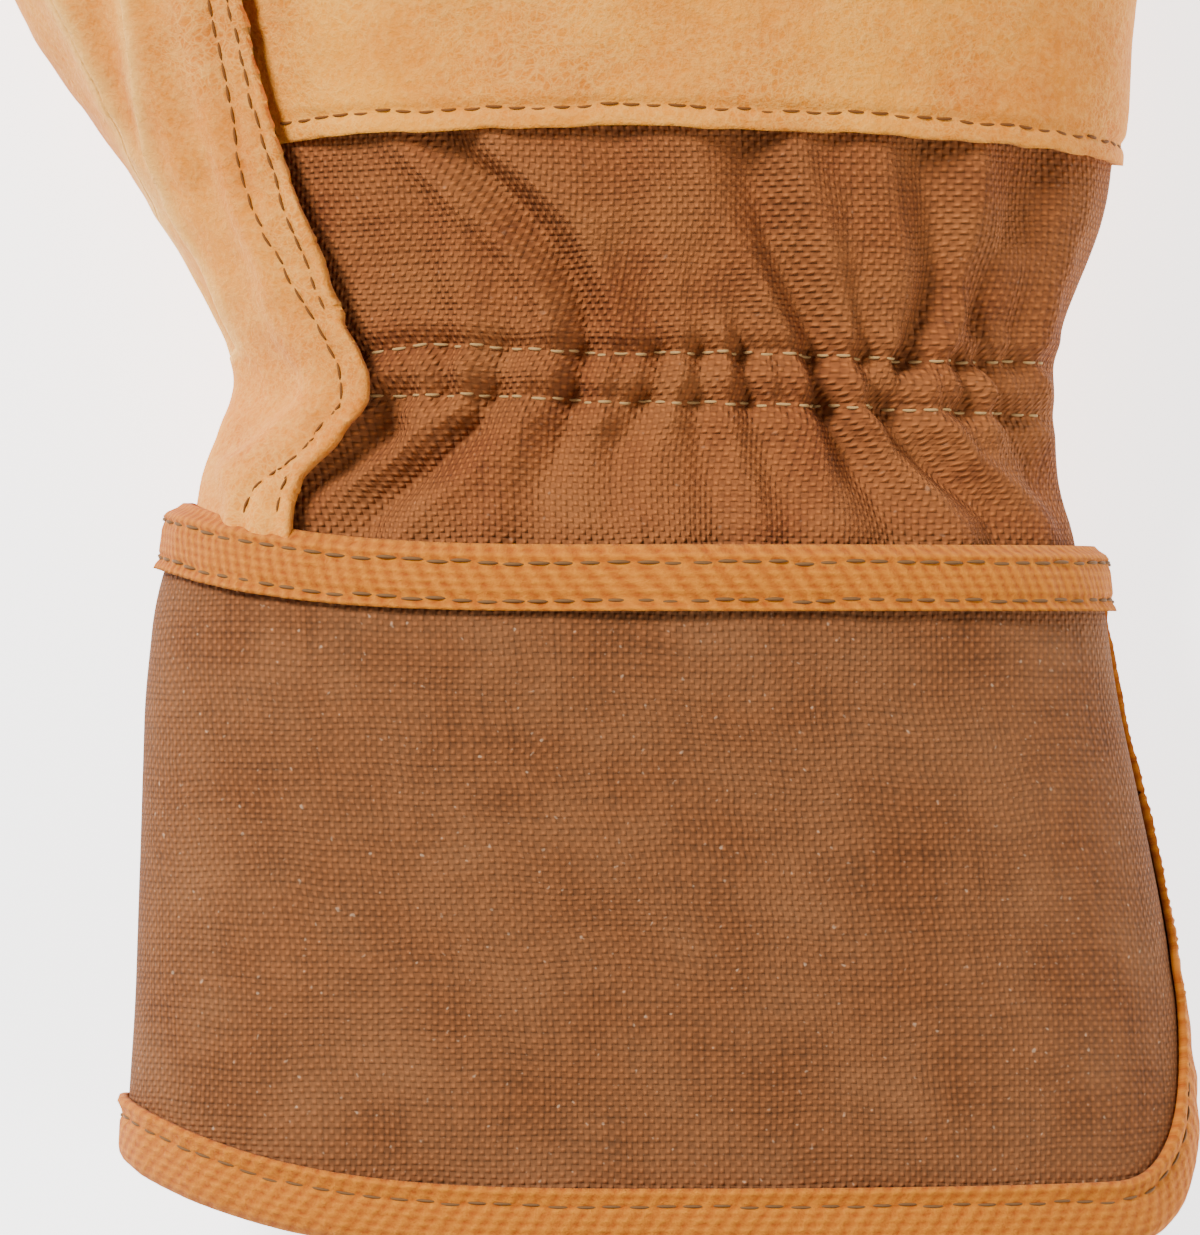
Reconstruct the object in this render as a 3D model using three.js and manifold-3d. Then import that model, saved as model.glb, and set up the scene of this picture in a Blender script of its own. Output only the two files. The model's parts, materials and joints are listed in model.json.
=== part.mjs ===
// A right-hand rigger glove, lying palm down and filled out as if just taken off.
// Millimetres: +Z up from the surface it lies on, +Y towards the fingertips, +X towards the little finger.
// The "hand form" is the inside of the glove. Every wall is that form grown outwards by the wall's thickness,
// and every piece is the stretch of wall that its pattern covers.
import * as THREE from "three";
import { mergeVertices } from "three/addons/utils/BufferGeometryUtils.js";
import Module from "manifold-3d";

// Materials, as thickness
const leather_thickness = 1.8;
const canvas_thickness = 1.4;
const patch_thickness = 1.4; // the leather sewn over canvas: the knuckle strap and the fingertips
const tape_thickness = 1.0;
const gap = 0.3; // between any two pieces

// Cuff, from its hem to the top edge of its seam tape
const cuff_length = 70.6;
const cuff_hem_width = 108;
const cuff_hem_height = 45;
const cuff_floor = leather_thickness + 0.9; // the cuff's inner face above the surface it lies on
const tape_width = 6.6;
const tape_lip = 2.1; // how far the seam tape reaches past the cuff's top edge, onto the hand
const binding_width = 5.4;
const hem_corner_radius = 27;
const slit_width = 3.5; // across the slit, beside the seam tape

// Hand, from the seam tape to the base of the fingers
const hand_length = 108;
const wrist_width = 80.4;
const hand_width = 95.5;
const hand_height = 43;
const tuck = 9; // how far the hand's wall runs down inside the cuff
const web_length = 8; // the hand past the base line of the fingers
const wrap_margin = 6.5; // the double edge of the leather where it wraps onto the back
const lap = 4; // how far the canvas runs on under that edge
const strap_length = 53; // along the hand, over the knuckles

// Fingers and thumb
const finger_length = 91.4; // the middle finger, past the base line
const finger_width = 20.6;
const fingertip_length = 25; // of the leather patch
const thumb_length = 108; // from its root inside the hand
const thumb_width = 27;
const thumb_angle = 35; // degrees, out from +Y

const { lerp, degToRad, clamp } = THREE.MathUtils;
const seam_y = cuff_length;
const base_y = seam_y + hand_length;
const roundness = 2.3; // exponent of every section: 2 is an ellipse, more is squarer

// Sections of the hand form. along: share of the hand's length. palm: 0 sized by the wrist, 1 by the hand.
// left, right: from the hand's axis, as shares of that width. high, low: shares of the hand's height.
const hand_rows = [
  { along: -tuck / hand_length, palm: 0, left: 0.569, right: 0.534, high: 0.95, low: 0.119 },
  { along: 0.0, palm: 0, left: 0.57, right: 0.534, high: 0.955, low: 0.119 },
  { along: 0.06, palm: 0, left: 0.553, right: 0.51, high: 0.91, low: 0.09 },
  { along: 0.125, palm: 0, left: 0.522, right: 0.502, high: 0.87, low: 0.05 },
  { along: 0.18, palm: 0, left: 0.497, right: 0.505, high: 0.86, low: 0.03 },
  { along: 0.23, palm: 0, left: 0.497, right: 0.521, high: 0.885, low: 0.02 },
  { along: 0.28, palm: 0.5, left: 0.463, right: 0.505, high: 0.91, low: 0.01 },
  { along: 0.33, palm: 1, left: 0.44, right: 0.483, high: 0.935, low: 0.0 },
  { along: 0.385, palm: 1, left: 0.45, right: 0.488, high: 0.955, low: 0.0 },
  { along: 0.52, palm: 1, left: 0.467, right: 0.492, high: 0.985, low: 0.0 },
  { along: 0.69, palm: 1, left: 0.477, right: 0.503, high: 1.0, low: 0.0 },
  { along: 0.83, palm: 1, left: 0.482, right: 0.513, high: 0.975, low: 0.0 },
  { along: 0.95, palm: 1, left: 0.482, right: 0.518, high: 0.9, low: 0.06 },
  { along: 1.02, palm: 1, left: 0.48, right: 0.516, high: 0.81, low: 0.14 },
  { along: 1 + web_length / hand_length, palm: 1, left: 0.462, right: 0.504, high: 0.66, low: 0.31 },
];

// Gathers that the elastic draws into the canvas, one valley a row. The five columns from strap to seam are
// where the valley runs, as shares of the wrist's width from the axis, at the stations below.
// over, under: its depth above and below the elastic, as shares of gather_depth. wide: share of gather_width.
const gather_depth = 3.4;
const gather_width = 3.2;
const gather_stations = { strap: 0.38, over: 0.27, elastic: 0.165, under: 0.075, seam: 0.01 };
const gathers = [
  { strap: -0.36, over: -0.33, elastic: -0.3, under: -0.35, seam: -0.42, deep_over: 0.15, deep_under: 0.7, wide: 1.0 },
  { strap: -0.28, over: -0.22, elastic: -0.18, under: -0.235, seam: -0.31, deep_over: 0.3, deep_under: 0.9, wide: 1.15 },
  { strap: -0.25, over: -0.125, elastic: -0.085, under: -0.145, seam: -0.18, deep_over: 1.0, deep_under: 0.75, wide: 1.0 },
  { strap: -0.1, over: -0.045, elastic: 0.01, under: -0.045, seam: -0.06, deep_over: 0.35, deep_under: 0.45, wide: 0.9 },
  { strap: 0.04, over: 0.07, elastic: 0.115, under: 0.07, seam: 0.075, deep_over: 0.45, deep_under: 0.6, wide: 0.9 },
  { strap: 0.115, over: 0.165, elastic: 0.215, under: 0.26, seam: 0.315, deep_over: 0.95, deep_under: 0.8, wide: 1.1 },
  { strap: 0.345, over: 0.365, elastic: 0.3, under: 0.36, seam: 0.46, deep_over: 0.7, deep_under: 1.0, wide: 1.0 },
  { strap: 0.475, over: 0.445, elastic: 0.4, under: 0.46, seam: 0.54, deep_over: 0.8, deep_under: 0.8, wide: 0.9 },
];

// Where the wrapped leather ends on the back. across: share of the wrist's or hand's width, as in hand_rows.
const wrap_rows = [
  { along: -0.1, palm: 0, across: -0.457 },
  { along: 0.02, palm: 0, across: -0.457 },
  { along: 0.06, palm: 0, across: -0.444 },
  { along: 0.085, palm: 0, across: -0.415 },
  { along: 0.11, palm: 0, across: -0.383 },
  { along: 0.135, palm: 0, across: -0.358 },
  { along: 0.165, palm: 0, across: -0.352 },
  { along: 0.2, palm: 0, across: -0.366 },
  { along: 0.235, palm: 0, across: -0.392 },
  { along: 0.305, palm: 0, across: -0.428 },
  { along: 0.385, palm: 1, across: -0.397 },
  { along: 0.52, palm: 1, across: -0.442 },
  { along: 0.68, palm: 1, across: -0.495 },
  { along: 0.78, palm: 1, across: -0.56 },
  { along: 1.4, palm: 1, across: -0.56 },
];

// The seam that sets the thumb into the hand, seen from above.
const thumb_seam_rows = [
  { along: -0.3, palm: 0, across: -0.9 },
  { along: 0.06, palm: 0, across: -0.75 },
  { along: 0.19, palm: 0, across: -0.519 },
  { along: 0.245, palm: 0, across: -0.548 },
  { along: 0.32, palm: 0, across: -0.611 },
  { along: 0.41, palm: 1, across: -0.545 },
  { along: 0.52, palm: 1, across: -0.561 },
  { along: 0.64, palm: 1, across: -0.548 },
  { along: 0.76, palm: 1, across: -0.512 },
  { along: 0.88, palm: 1, across: -0.528 },
  { along: 1.02, palm: 1, across: -0.585 },
  { along: 1.4, palm: 1, across: -0.75 },
  { along: 3, palm: 1, across: -0.9 },
];

// The thumb's own seam: distance from the thumb's axis, as a share of its width, measured towards the hand.
const thumb_side_rows = [
  { along: -0.1, across: -0.9 },
  { along: 0.18, across: -0.68 },
  { along: 0.29, across: -0.585 },
  { along: 0.415, across: -0.495 },
  { along: 0.6, across: -0.42 },
  { along: 0.8, across: -0.5 },
  { along: 1.1, across: -0.9 },
];

// Sections of the thumb and of a finger, from the root to where the rounded tip starts.
// wide, tall, middle: half width, half height and height of the centre, as shares of the thumb's or finger's width.
const thumb_rows = [
  { along: 0.0, wide: 0.61, tall: 0.55, middle: 0.7 },
  { along: 0.34, wide: 0.61, tall: 0.54, middle: 0.67 },
  { along: 0.6, wide: 0.53, tall: 0.5, middle: 0.62 },
  { along: 0.87, wide: 0.48, tall: 0.46, middle: 0.53 },
];
const finger_rows = [
  { along: -0.1, wide: 0.49, tall: 0.49, middle: 1.04 },
  { along: 0.08, wide: 0.5, tall: 0.5, middle: 1.04 },
  { along: 0.3, wide: 0.5, tall: 0.5, middle: 0.93 },
  { along: 0.6, wide: 0.495, tall: 0.485, middle: 0.73 },
  { along: 0.89, wide: 0.475, tall: 0.465, middle: 0.585 },
];

// root, lean: the finger's place across the hand and how far its tip lies to the side, as shares of the hand's
// width. reach: share of finger_length. size: share of finger_width.
const fingers = [
  { name: "index", root: -0.373, lean: -0.088, reach: 0.84, size: 0.99 },
  { name: "middle", root: -0.124, lean: -0.026, reach: 1.0, size: 1.0 },
  { name: "ring", root: 0.125, lean: 0.052, reach: 0.89, size: 0.99 },
  { name: "little", root: 0.366, lean: 0.122, reach: 0.63, size: 0.93 },
];
const hand_axis_x = 0.021 * hand_width; // the middle of the knuckles lies this far from the wrist's axis

// Numbers of sides and rows
const back_sides = 26;
const palm_sides = 8;
const finger_sides = 12;
const tip_rows = 3;
const cuff_sides = 22;
const corner_steps = 5;
const tape_steps = 32;

const wasm = await Module();
wasm.setup();

// Straight-line reading of one column of a table.
function read(rows, column, at, key = "along") {
  const last = rows.length - 1;
  if (at <= rows[0][key]) return rows[0][column];
  if (at >= rows[last][key]) return rows[last][column];
  const next = rows.findIndex((row) => row[key] > at);
  const [a, b] = [rows[next - 1], rows[next]];
  return lerp(a[column], b[column], (at - a[key]) / (b[key] - a[key]));
}

function solid(geometry) {
  const bare = geometry.clone();
  bare.deleteAttribute("normal");
  bare.deleteAttribute("uv");
  const merged = mergeVertices(bare, 1e-4);
  return new wasm.Manifold(
    new wasm.Mesh({
      numProp: 3,
      vertProperties: merged.attributes.position.array,
      triVerts: new Uint32Array(merged.index.array),
    }),
  );
}

// A closed body through rings of points, all with the same number of points, with a flat fan at each end.
// Where loop is true the last ring joins the first instead.
function loft(rings, loop = false) {
  const count = rings[0].length;
  const points = rings.flat().flatMap((p) => [p.x, p.y, p.z]);
  const faces = [];
  const spans = loop ? rings.length : rings.length - 1;
  for (let r = 0; r < spans; r++) {
    for (let i = 0; i < count; i++) {
      const a = r * count + i;
      const b = r * count + ((i + 1) % count);
      const c = ((r + 1) % rings.length) * count + i;
      const d = ((r + 1) % rings.length) * count + ((i + 1) % count);
      faces.push(a, b, d, a, d, c);
    }
  }
  const cap = (ring, offset, turn) => {
    const shape = ring.length === 4 ? null : ring.reduce((s, p) => s.add(p), new THREE.Vector3());
    if (!shape) {
      faces.push(...(turn ? [offset, offset + 2, offset + 1] : [offset, offset + 1, offset + 2]));
      faces.push(...(turn ? [offset, offset + 3, offset + 2] : [offset, offset + 2, offset + 3]));
      return;
    }
    shape.divideScalar(ring.length);
    const middle = points.length / 3;
    points.push(shape.x, shape.y, shape.z);
    for (let i = 0; i < count; i++) {
      const j = (i + 1) % count;
      faces.push(middle, offset + (turn ? j : i), offset + (turn ? i : j));
    }
  };
  if (!loop) {
    cap(rings[0], 0, true);
    cap(rings[rings.length - 1], (rings.length - 1) * count, false);
  }
  const geometry = new THREE.BufferGeometry();
  geometry.setAttribute("position", new THREE.Float32BufferAttribute(points, 3));
  geometry.setIndex(faces);
  const made = solid(geometry);
  if (made.volume() > 0) return made;
  geometry.setIndex(faces.map((_, k) => faces[k - (k % 3) + [0, 2, 1][k % 3]]));
  return solid(geometry);
}

// A point of a superellipse section, turned from the top (0) towards the right (90 degrees).
const bulge = (value) => Math.sign(value) * Math.abs(value) ** (2 / roundness);

// The hand form at a height along the glove.
function hand_section(y) {
  const along = (y - seam_y) / hand_length;
  const span = lerp(wrist_width, hand_width, read(hand_rows, "palm", along));
  const left = -read(hand_rows, "left", along) * span;
  const right = read(hand_rows, "right", along) * span;
  const high = read(hand_rows, "high", along) * hand_height;
  const low = read(hand_rows, "low", along) * hand_height;
  return { left, right, high, low, middle: (high + low) / 2 };
}

// Depth of the gathers at a place on the back.
function gather(x, y) {
  const along = (y - seam_y) / hand_length;
  const s = gather_stations;
  const stations = ["seam", "under", "elastic", "over", "strap"].map((name) => ({ name, along: s[name] }));
  const fade = clamp(along / s.under, 0, 1) * clamp((0.42 - along) / (0.42 - s.strap), 0, 1);
  let depth = 0;
  for (const row of gathers) {
    const track = stations.map((station) => ({ along: station.along, across: row[station.name] }));
    const middle = read(track, "across", along) * wrist_width;
    const share = clamp((along - s.under) / (s.over - s.under), 0, 1);
    const deep = lerp(row.deep_under, row.deep_over, share) * gather_depth;
    depth += deep * Math.exp(-(((x - middle) / (row.wide * gather_width)) ** 2));
  }
  return -depth * fade;
}

// Turns of the section's points: close together over the back, wider apart under the palm.
const hand_turns = [
  ...Array.from({ length: back_sides }, (_, i) => 90 - (180 * i) / back_sides),
  ...Array.from({ length: palm_sides }, (_, i) => -90 - (180 * i) / palm_sides),
].map(degToRad);

function hand_point(y, turn, grow, gathered) {
  const s = hand_section(y);
  const half = (s.right - s.left) / 2 + grow;
  const tall = (s.high - s.low) / 2 + grow;
  const x = (s.left + s.right) / 2 + half * bulge(Math.sin(turn));
  const dent = gathered && Math.cos(turn) > 0 ? gather(x, y) * Math.cos(turn) ** 0.5 : 0;
  return new THREE.Vector3(x, y, s.middle + (tall + dent) * bulge(Math.cos(turn)));
}

// Rings of the hand form along the glove: the table's rows, with more of them through the gathers.
const gathered_rows = [0.03, 0.09, 0.155, 0.42];
const hand_places = hand_rows.map((row) => seam_y + row.along * hand_length);
const gathered_places = [...hand_places, ...gathered_rows.map((along) => seam_y + along * hand_length)].sort(
  (a, b) => a - b,
);

function hand_solid(grow, gathered) {
  const places = gathered ? gathered_places : hand_places;
  const turns = gathered ? hand_turns : hand_turns.filter((_, i) => i % 2 === 0);
  const last = places.length - 1;
  const rings = places.map((y, i) => {
    const ring = turns.map((turn) => hand_point(y, turn, grow, gathered));
    if (i === last) ring.forEach((p) => (p.y += grow));
    if (i === 0 && grow === 0) ring.forEach((p) => (p.y -= tuck));
    return ring;
  });
  return loft(rings);
}

// A finger or thumb: elliptical sections along a straight axis, closed by a rounded tip.
function digit_solid(rows, root, axis, length, width, sides, grow) {
  const across = new THREE.Vector3(axis.y, -axis.x, 0);
  const ring = (distance, wide, tall, middle) =>
    Array.from({ length: sides }, (_, i) => {
      const turn = (2 * Math.PI * (i + 0.5)) / sides;
      return root
        .clone()
        .addScaledVector(axis, distance)
        .addScaledVector(across, wide * Math.sin(turn))
        .add(new THREE.Vector3(0, 0, middle + tall * Math.cos(turn)));
    });
  const rings = rows.map((row) =>
    ring(row.along * length, row.wide * width + grow, row.tall * width + grow, row.middle * width),
  );
  const end = rows[rows.length - 1];
  for (let i = 1; i <= tip_rows; i++) {
    const turn = ((Math.PI / 2) * i) / (tip_rows + 0.35);
    const reach = (1 - end.along) * length + grow;
    const shrink = Math.cos(turn);
    const place = end.along * length + reach * Math.sin(turn);
    rings.push(ring(place, (end.wide * width + grow) * shrink, (end.tall * width + grow) * shrink, end.middle * width));
  }
  return loft(rings);
}

const finger_reach = (finger) => finger.reach * finger_length;
const finger_root_x = (finger) => hand_axis_x + finger.root * hand_width;
const finger_axis_x = (finger, y) =>
  finger_root_x(finger) + ((y - base_y) / finger_reach(finger)) * finger.lean * hand_width;

// Where the middle of a finger lies above the surface, which is also where its side seams run.
function finger_middle(y) {
  return read(finger_rows, "middle", (y - base_y) / finger_length) * finger_width;
}

function finger_solid(finger, grow) {
  const slope = (finger.lean * hand_width) / finger_reach(finger);
  const axis = new THREE.Vector3(slope, 1, 0).normalize();
  const root = new THREE.Vector3(finger_root_x(finger), base_y, 0);
  const length = finger_reach(finger) * Math.hypot(1, slope);
  const width = finger.size * finger_width;
  const rows = finger_rows.map((row) => ({
    ...row,
    middle: finger_middle(base_y + row.along * finger_reach(finger)) / width,
  }));
  return digit_solid(rows, root, axis, length, width, finger_sides, grow);
}

const thumb_turn = degToRad(thumb_angle);
const thumb_axis = new THREE.Vector3(-Math.sin(thumb_turn), Math.cos(thumb_turn), 0);
const thumb_across = new THREE.Vector3(thumb_axis.y, -thumb_axis.x, 0);
const thumb_root = new THREE.Vector3(-0.299 * wrist_width, seam_y + 0.245 * hand_length, 0);

function thumb_solid(grow) {
  return digit_solid(thumb_rows, thumb_root, thumb_axis, thumb_length, thumb_width, finger_sides + 2, grow);
}

// The whole glove's form above the cuff, grown outwards and flattened where it rests.
const reach = 200; // beyond everything, for the cutting blocks
function block(x0, x1, y0, y1, z0, z1) {
  const box = new THREE.BoxGeometry(x1 - x0, y1 - y0, z1 - z0);
  return solid(box.translate((x0 + x1) / 2, (y0 + y1) / 2, (z0 + z1) / 2));
}

function form(grow, gathered) {
  const whole = fingers.reduce(
    (body, finger) => body.add(finger_solid(finger, grow)),
    hand_solid(grow, gathered).add(thumb_solid(grow)),
  );
  const floor = Math.max(leather_thickness - grow, 0);
  return whole.subtract(block(-reach, reach, -reach, 2 * reach, -reach, floor));
}

const over_canvas = canvas_thickness + gap;
const shell = (inner, wall, gathered) => form(inner + wall, gathered).subtract(form(inner, gathered));
const leather_wall = shell(0, leather_thickness, false);
const back_wall = shell(0, canvas_thickness, true);
const strap_wall = shell(over_canvas, patch_thickness, true);
const finger_wall = shell(0, canvas_thickness, false);
const fingertip_wall = shell(over_canvas, patch_thickness, false);

// A column of rectangles along the glove: x from left(y) to right(y), z from low(y) to high(y).
function column(places, left, right, low, high) {
  const rings = places.map((y) => [
    new THREE.Vector3(left(y), y, low(y)),
    new THREE.Vector3(right(y), y, low(y)),
    new THREE.Vector3(right(y), y, high(y)),
    new THREE.Vector3(left(y), y, high(y)),
  ]);
  return loft(rings);
}

const far_left = () => -reach;
const far_right = () => reach;
const far_down = () => -reach;
const far_up = () => reach;
const across = (rows) => (y) => {
  const along = (y - seam_y) / hand_length;
  return read(rows, "across", along) * lerp(wrist_width, hand_width, read(rows, "palm", along));
};
const places_of = (rows) => rows.map((row) => seam_y + row.along * hand_length);

// The side seams, between the back and the palm side of the hand and of every finger.
const side_height = (y) => (y < base_y + web_length ? hand_section(y).middle : finger_middle(y));
const seam_places = [
  ...hand_places.filter((y) => y < base_y),
  ...finger_rows.map((row) => base_y + row.along * finger_length).filter((y) => y > base_y + web_length),
  base_y + web_length,
  base_y + 2 * finger_length,
].sort((a, b) => a - b);
const above_sides = (margin) => column(seam_places, far_left, far_right, (y) => side_height(y) + margin, far_up);
const below_sides = (margin) => column(seam_places, far_left, far_right, far_down, (y) => side_height(y) - margin);

const wrap_edge = across(wrap_rows);
const thumb_seam = across(thumb_seam_rows);
const back_region = (margin) =>
  column(places_of(wrap_rows), (y) => wrap_edge(y) - margin, far_right, far_down, far_up).intersect(above_sides(-margin));
const hand_region = (margin) =>
  column(places_of(thumb_seam_rows), (y) => thumb_seam(y) + margin, far_right, far_down, far_up);
const thumb_region = column(places_of(thumb_seam_rows), far_left, (y) => thumb_seam(y) - gap / 2, far_down, far_up);
const below_base = (margin) => block(-reach, reach, -reach, base_y - margin, -reach, reach);
const above_base = (margin) => block(-reach, reach, base_y + margin, 3 * reach, -reach, reach);

// Each finger's share of the glove: between lines halfway to its neighbours.
function finger_region(i) {
  const places = [base_y - 1, base_y + 3 * finger_length];
  const border = (a, b) => (y) => (finger_axis_x(a, y) + finger_axis_x(b, y)) / 2;
  const left = i > 0 ? border(fingers[i - 1], fingers[i]) : null;
  const right = i < fingers.length - 1 ? border(fingers[i], fingers[i + 1]) : null;
  const lane = column(
    places,
    left ? (y) => left(y) + gap / 2 : far_left,
    right ? (y) => right(y) - gap / 2 : far_right,
    far_down,
    far_up,
  );
  return lane.intersect(above_base(gap / 2)).intersect(hand_region(gap / 2));
}

// The knuckle strap, seen from above: its lower edge is slightly arched, its upper edge follows the knuckles.
function strap_region() {
  const low_y = seam_y + 0.388 * hand_length;
  const high_y = low_y + strap_length;
  const half = 0.56 * hand_width;
  const shape = new THREE.Shape();
  shape.moveTo(-half, low_y - 0.006 * hand_length);
  shape.quadraticCurveTo(0, low_y + 0.012 * hand_length, half, low_y - 0.026 * hand_length);
  shape.lineTo(half, high_y - 0.07 * hand_length);
  shape.quadraticCurveTo(0, high_y + 0.075 * hand_length, -half, high_y - 0.03 * hand_length);
  const plate = new THREE.ExtrudeGeometry(shape, { depth: reach, bevelEnabled: false, curveSegments: 8 });
  return solid(plate);
}

const canvas_under = form(over_canvas, false).intersect(back_region(lap + gap));

const leather_material = { color: 0xcf9a5c, roughness: 0.75, metalness: 0 };
const canvas_material = { color: 0x8f5731, roughness: 0.85, metalness: 0 };
const tape_material = { color: 0xc77a2e, roughness: 0.8, metalness: 0 };
const glove = new THREE.Group();

function piece(name, body, look) {
  const made = body.getMesh();
  const geometry = new THREE.BufferGeometry();
  geometry.setAttribute("position", new THREE.BufferAttribute(made.vertProperties.slice(), 3));
  geometry.setIndex(new THREE.BufferAttribute(made.triVerts.slice(), 1));
  const mesh = new THREE.Mesh(geometry, new THREE.MeshStandardMaterial(look));
  mesh.name = name;
  glove.add(mesh);
}

// Palm leather: the palm, the heel of the hand and the double edge that wraps over the thumb side onto the back.
const wrap_band = shell(0, over_canvas + patch_thickness, false)
  .intersect(back_region(wrap_margin).subtract(back_region(0)))
  .intersect(block(-reach, reach, seam_y + gap + 0.035 * hand_length, seam_y + 0.66 * hand_length, 0.5 * hand_height, reach));
piece(
  "palm_leather",
  leather_wall
    .subtract(back_region(0))
    .add(wrap_band)
    .intersect(hand_region(gap / 2))
    .intersect(below_base(gap / 2))
    .subtract(canvas_under.intersect(above_sides(-gap))),
  leather_material,
);

// Canvas back of the hand, drawn into gathers at the wrist. It runs on under the leather's wrapped edge.
const back_lap = back_region(lap).intersect(wrap_band_lane());
piece(
  "back_canvas",
  back_wall.intersect(back_region(-gap).add(back_lap)).intersect(below_base(gap / 2)).intersect(hand_region(gap / 2)),
  canvas_material,
);

// Only where the wrapped edge is double does the canvas run on beneath it.
function wrap_band_lane() {
  return block(-reach, reach, seam_y + 2 * gap + 0.035 * hand_length, seam_y + 0.6 * hand_length, 0.55 * hand_height, reach);
}

// Knuckle strap: a leather band sewn over the canvas across the knuckles.
piece(
  "knuckle_strap",
  strap_wall.intersect(strap_region()).intersect(back_region(-gap)).intersect(hand_region(gap)),
  leather_material,
);

fingers.forEach((finger, i) => {
  const region = finger_region(i);
  const tip_y = base_y + finger_reach(finger) - fingertip_length;
  piece(`${finger.name}_finger_front`, leather_wall.intersect(region).intersect(below_sides(gap / 2)), leather_material);
  piece(`${finger.name}_finger_back`, finger_wall.intersect(region).intersect(above_sides(gap / 2)), canvas_material);
  const patch = block(-reach, reach, tip_y, 3 * reach, -reach, reach);
  piece(`${finger.name}_fingertip`, fingertip_wall.intersect(region).intersect(patch).intersect(above_sides(gap / 2)), leather_material);
});

// Thumb: a back panel and a front panel, sewn along the thumb's own seam and set into the hand.
function thumb_back_region(margin) {
  const at = (row, side, z) => {
    const p = thumb_root.clone().addScaledVector(thumb_axis, row.along * thumb_length);
    p.addScaledVector(thumb_across, side);
    return p.setZ(z);
  };
  const rings = thumb_side_rows.map((row) => {
    const side = row.across * thumb_width + margin;
    const low = read(thumb_rows, "middle", row.along) * thumb_width + margin;
    return [at(row, side, low), at(row, reach, low), at(row, reach, reach), at(row, side, reach)];
  });
  return loft(rings);
}
const thumb_wall = leather_wall.intersect(thumb_region);
piece("thumb_back", thumb_wall.intersect(thumb_back_region(gap / 2)), leather_material);
piece("thumb_front", thumb_wall.subtract(thumb_back_region(-gap / 2)), leather_material);

// The cuff: a flared canvas sleeve, slit from the hem to the seam tape at the little-finger side.
// along: share of the cuff's length from the hem. The other columns say how much of the hem's extra size is left.
const flare_rows = [
  { along: 0.0, left: 1.0, right: 1.0, high: 1.0 },
  { along: 0.165, left: 0.88, right: 0.95, high: 0.93 },
  { along: 0.34, left: 0.73, right: 0.81, high: 0.8 },
  { along: 0.56, left: 0.62, right: 0.5, high: 0.6 },
  { along: 0.78, left: 0.55, right: 0.18, high: 0.4 },
  { along: 0.92, left: 0.36, right: 0.04, high: 0.15 },
  { along: 1.0, left: 0.0, right: 0.0, high: 0.0 },
];
const hem_axis_share = 0.491; // of the hem's width, left of the axis
const slit_turn_hem = degToRad(91);
const slit_turn_seam = degToRad(110);
const seam_rise = 0.042 * hand_length; // the cuff's seam climbs this far on the thumb side
const hem_rise = 0.11 * cuff_length; // and so does the hem

function cuff_point(y, turn, grow) {
  const along = y / cuff_length;
  const top = hand_section(seam_y);
  const room = leather_thickness + gap;
  const mix = (column, a, b) => lerp(a, b, read(flare_rows, column, along));
  const left = mix("left", top.left - room, -hem_axis_share * cuff_hem_width);
  const right = mix("right", top.right + room, (1 - hem_axis_share) * cuff_hem_width);
  const high = mix("high", top.high + room, cuff_floor + cuff_hem_height);
  const low = cuff_floor;
  return new THREE.Vector3(
    (left + right) / 2 + ((right - left) / 2 + grow) * bulge(Math.sin(turn)),
    y,
    (high + low) / 2 + ((high - low) / 2 + grow) * bulge(Math.cos(turn)),
  );
}

function cuff_normal(y, turn) {
  const step = 0.02;
  const up = cuff_point(y + 1, turn, 0).sub(cuff_point(y - 1, turn, 0));
  const round = cuff_point(y, turn + step, 0).sub(cuff_point(y, turn - step, 0));
  return round.cross(up).normalize();
}

const thumb_side = (turn) => Math.max(-Math.sin(turn), 0) ** 3;
const seam_line = (turn) => seam_y + seam_rise * thumb_side(turn);
const cuff_top = (turn) => seam_line(turn) - tape_lip - gap;

// Places of the cuff's sheet. u runs from the slit's back edge (0) over the back and the thumb side and under the
// palm to the slit's other edge (1). v runs from the hem (0) to the top edge (1).
const half_girth = (cuff_hem_width + cuff_hem_height) * 0.8;
function cuff_turn(u, v) {
  const back = lerp(slit_turn_hem, slit_turn_seam, v * (1.4 - 0.4 * v));
  const open = lerp(3.2, 1, v) * (slit_width / half_girth) * Math.PI;
  return back - u * (2 * Math.PI - open);
}
function hem_line(u) {
  const girth = 2 * half_girth;
  const from_slit = Math.min(u, 1 - u) * girth;
  const short = Math.max(hem_corner_radius - from_slit, 0);
  const corner = hem_corner_radius - Math.sqrt(Math.max(hem_corner_radius ** 2 - short ** 2, 0));
  return tape_thickness + gap + corner + hem_rise * thumb_side(cuff_turn(u, 0));
}
function cuff_place(u, v, grow) {
  const low = hem_line(u);
  const turn = cuff_turn(u, v);
  return cuff_point(lerp(low, cuff_top(turn), v), turn, grow);
}

// Values of u: evenly turned round the two rounded corners beside the slit, evenly spaced between them.
const corner_share = hem_corner_radius / (2 * half_girth);
const corner_columns = Array.from(
  { length: corner_steps },
  (_, i) => corner_share * (1 - Math.cos(((Math.PI / 2) * i) / corner_steps)),
);
const even_columns = Array.from(
  { length: cuff_sides + 1 },
  (_, i) => corner_share + ((1 - 2 * corner_share) * i) / cuff_sides,
);
const cuff_columns = [...corner_columns, ...even_columns, ...corner_columns.map((u) => 1 - u).reverse()];
const cuff_levels = [0, 0.16, 0.4, 0.7, 1 - (tape_width - tape_lip) / cuff_length, 1];

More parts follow.
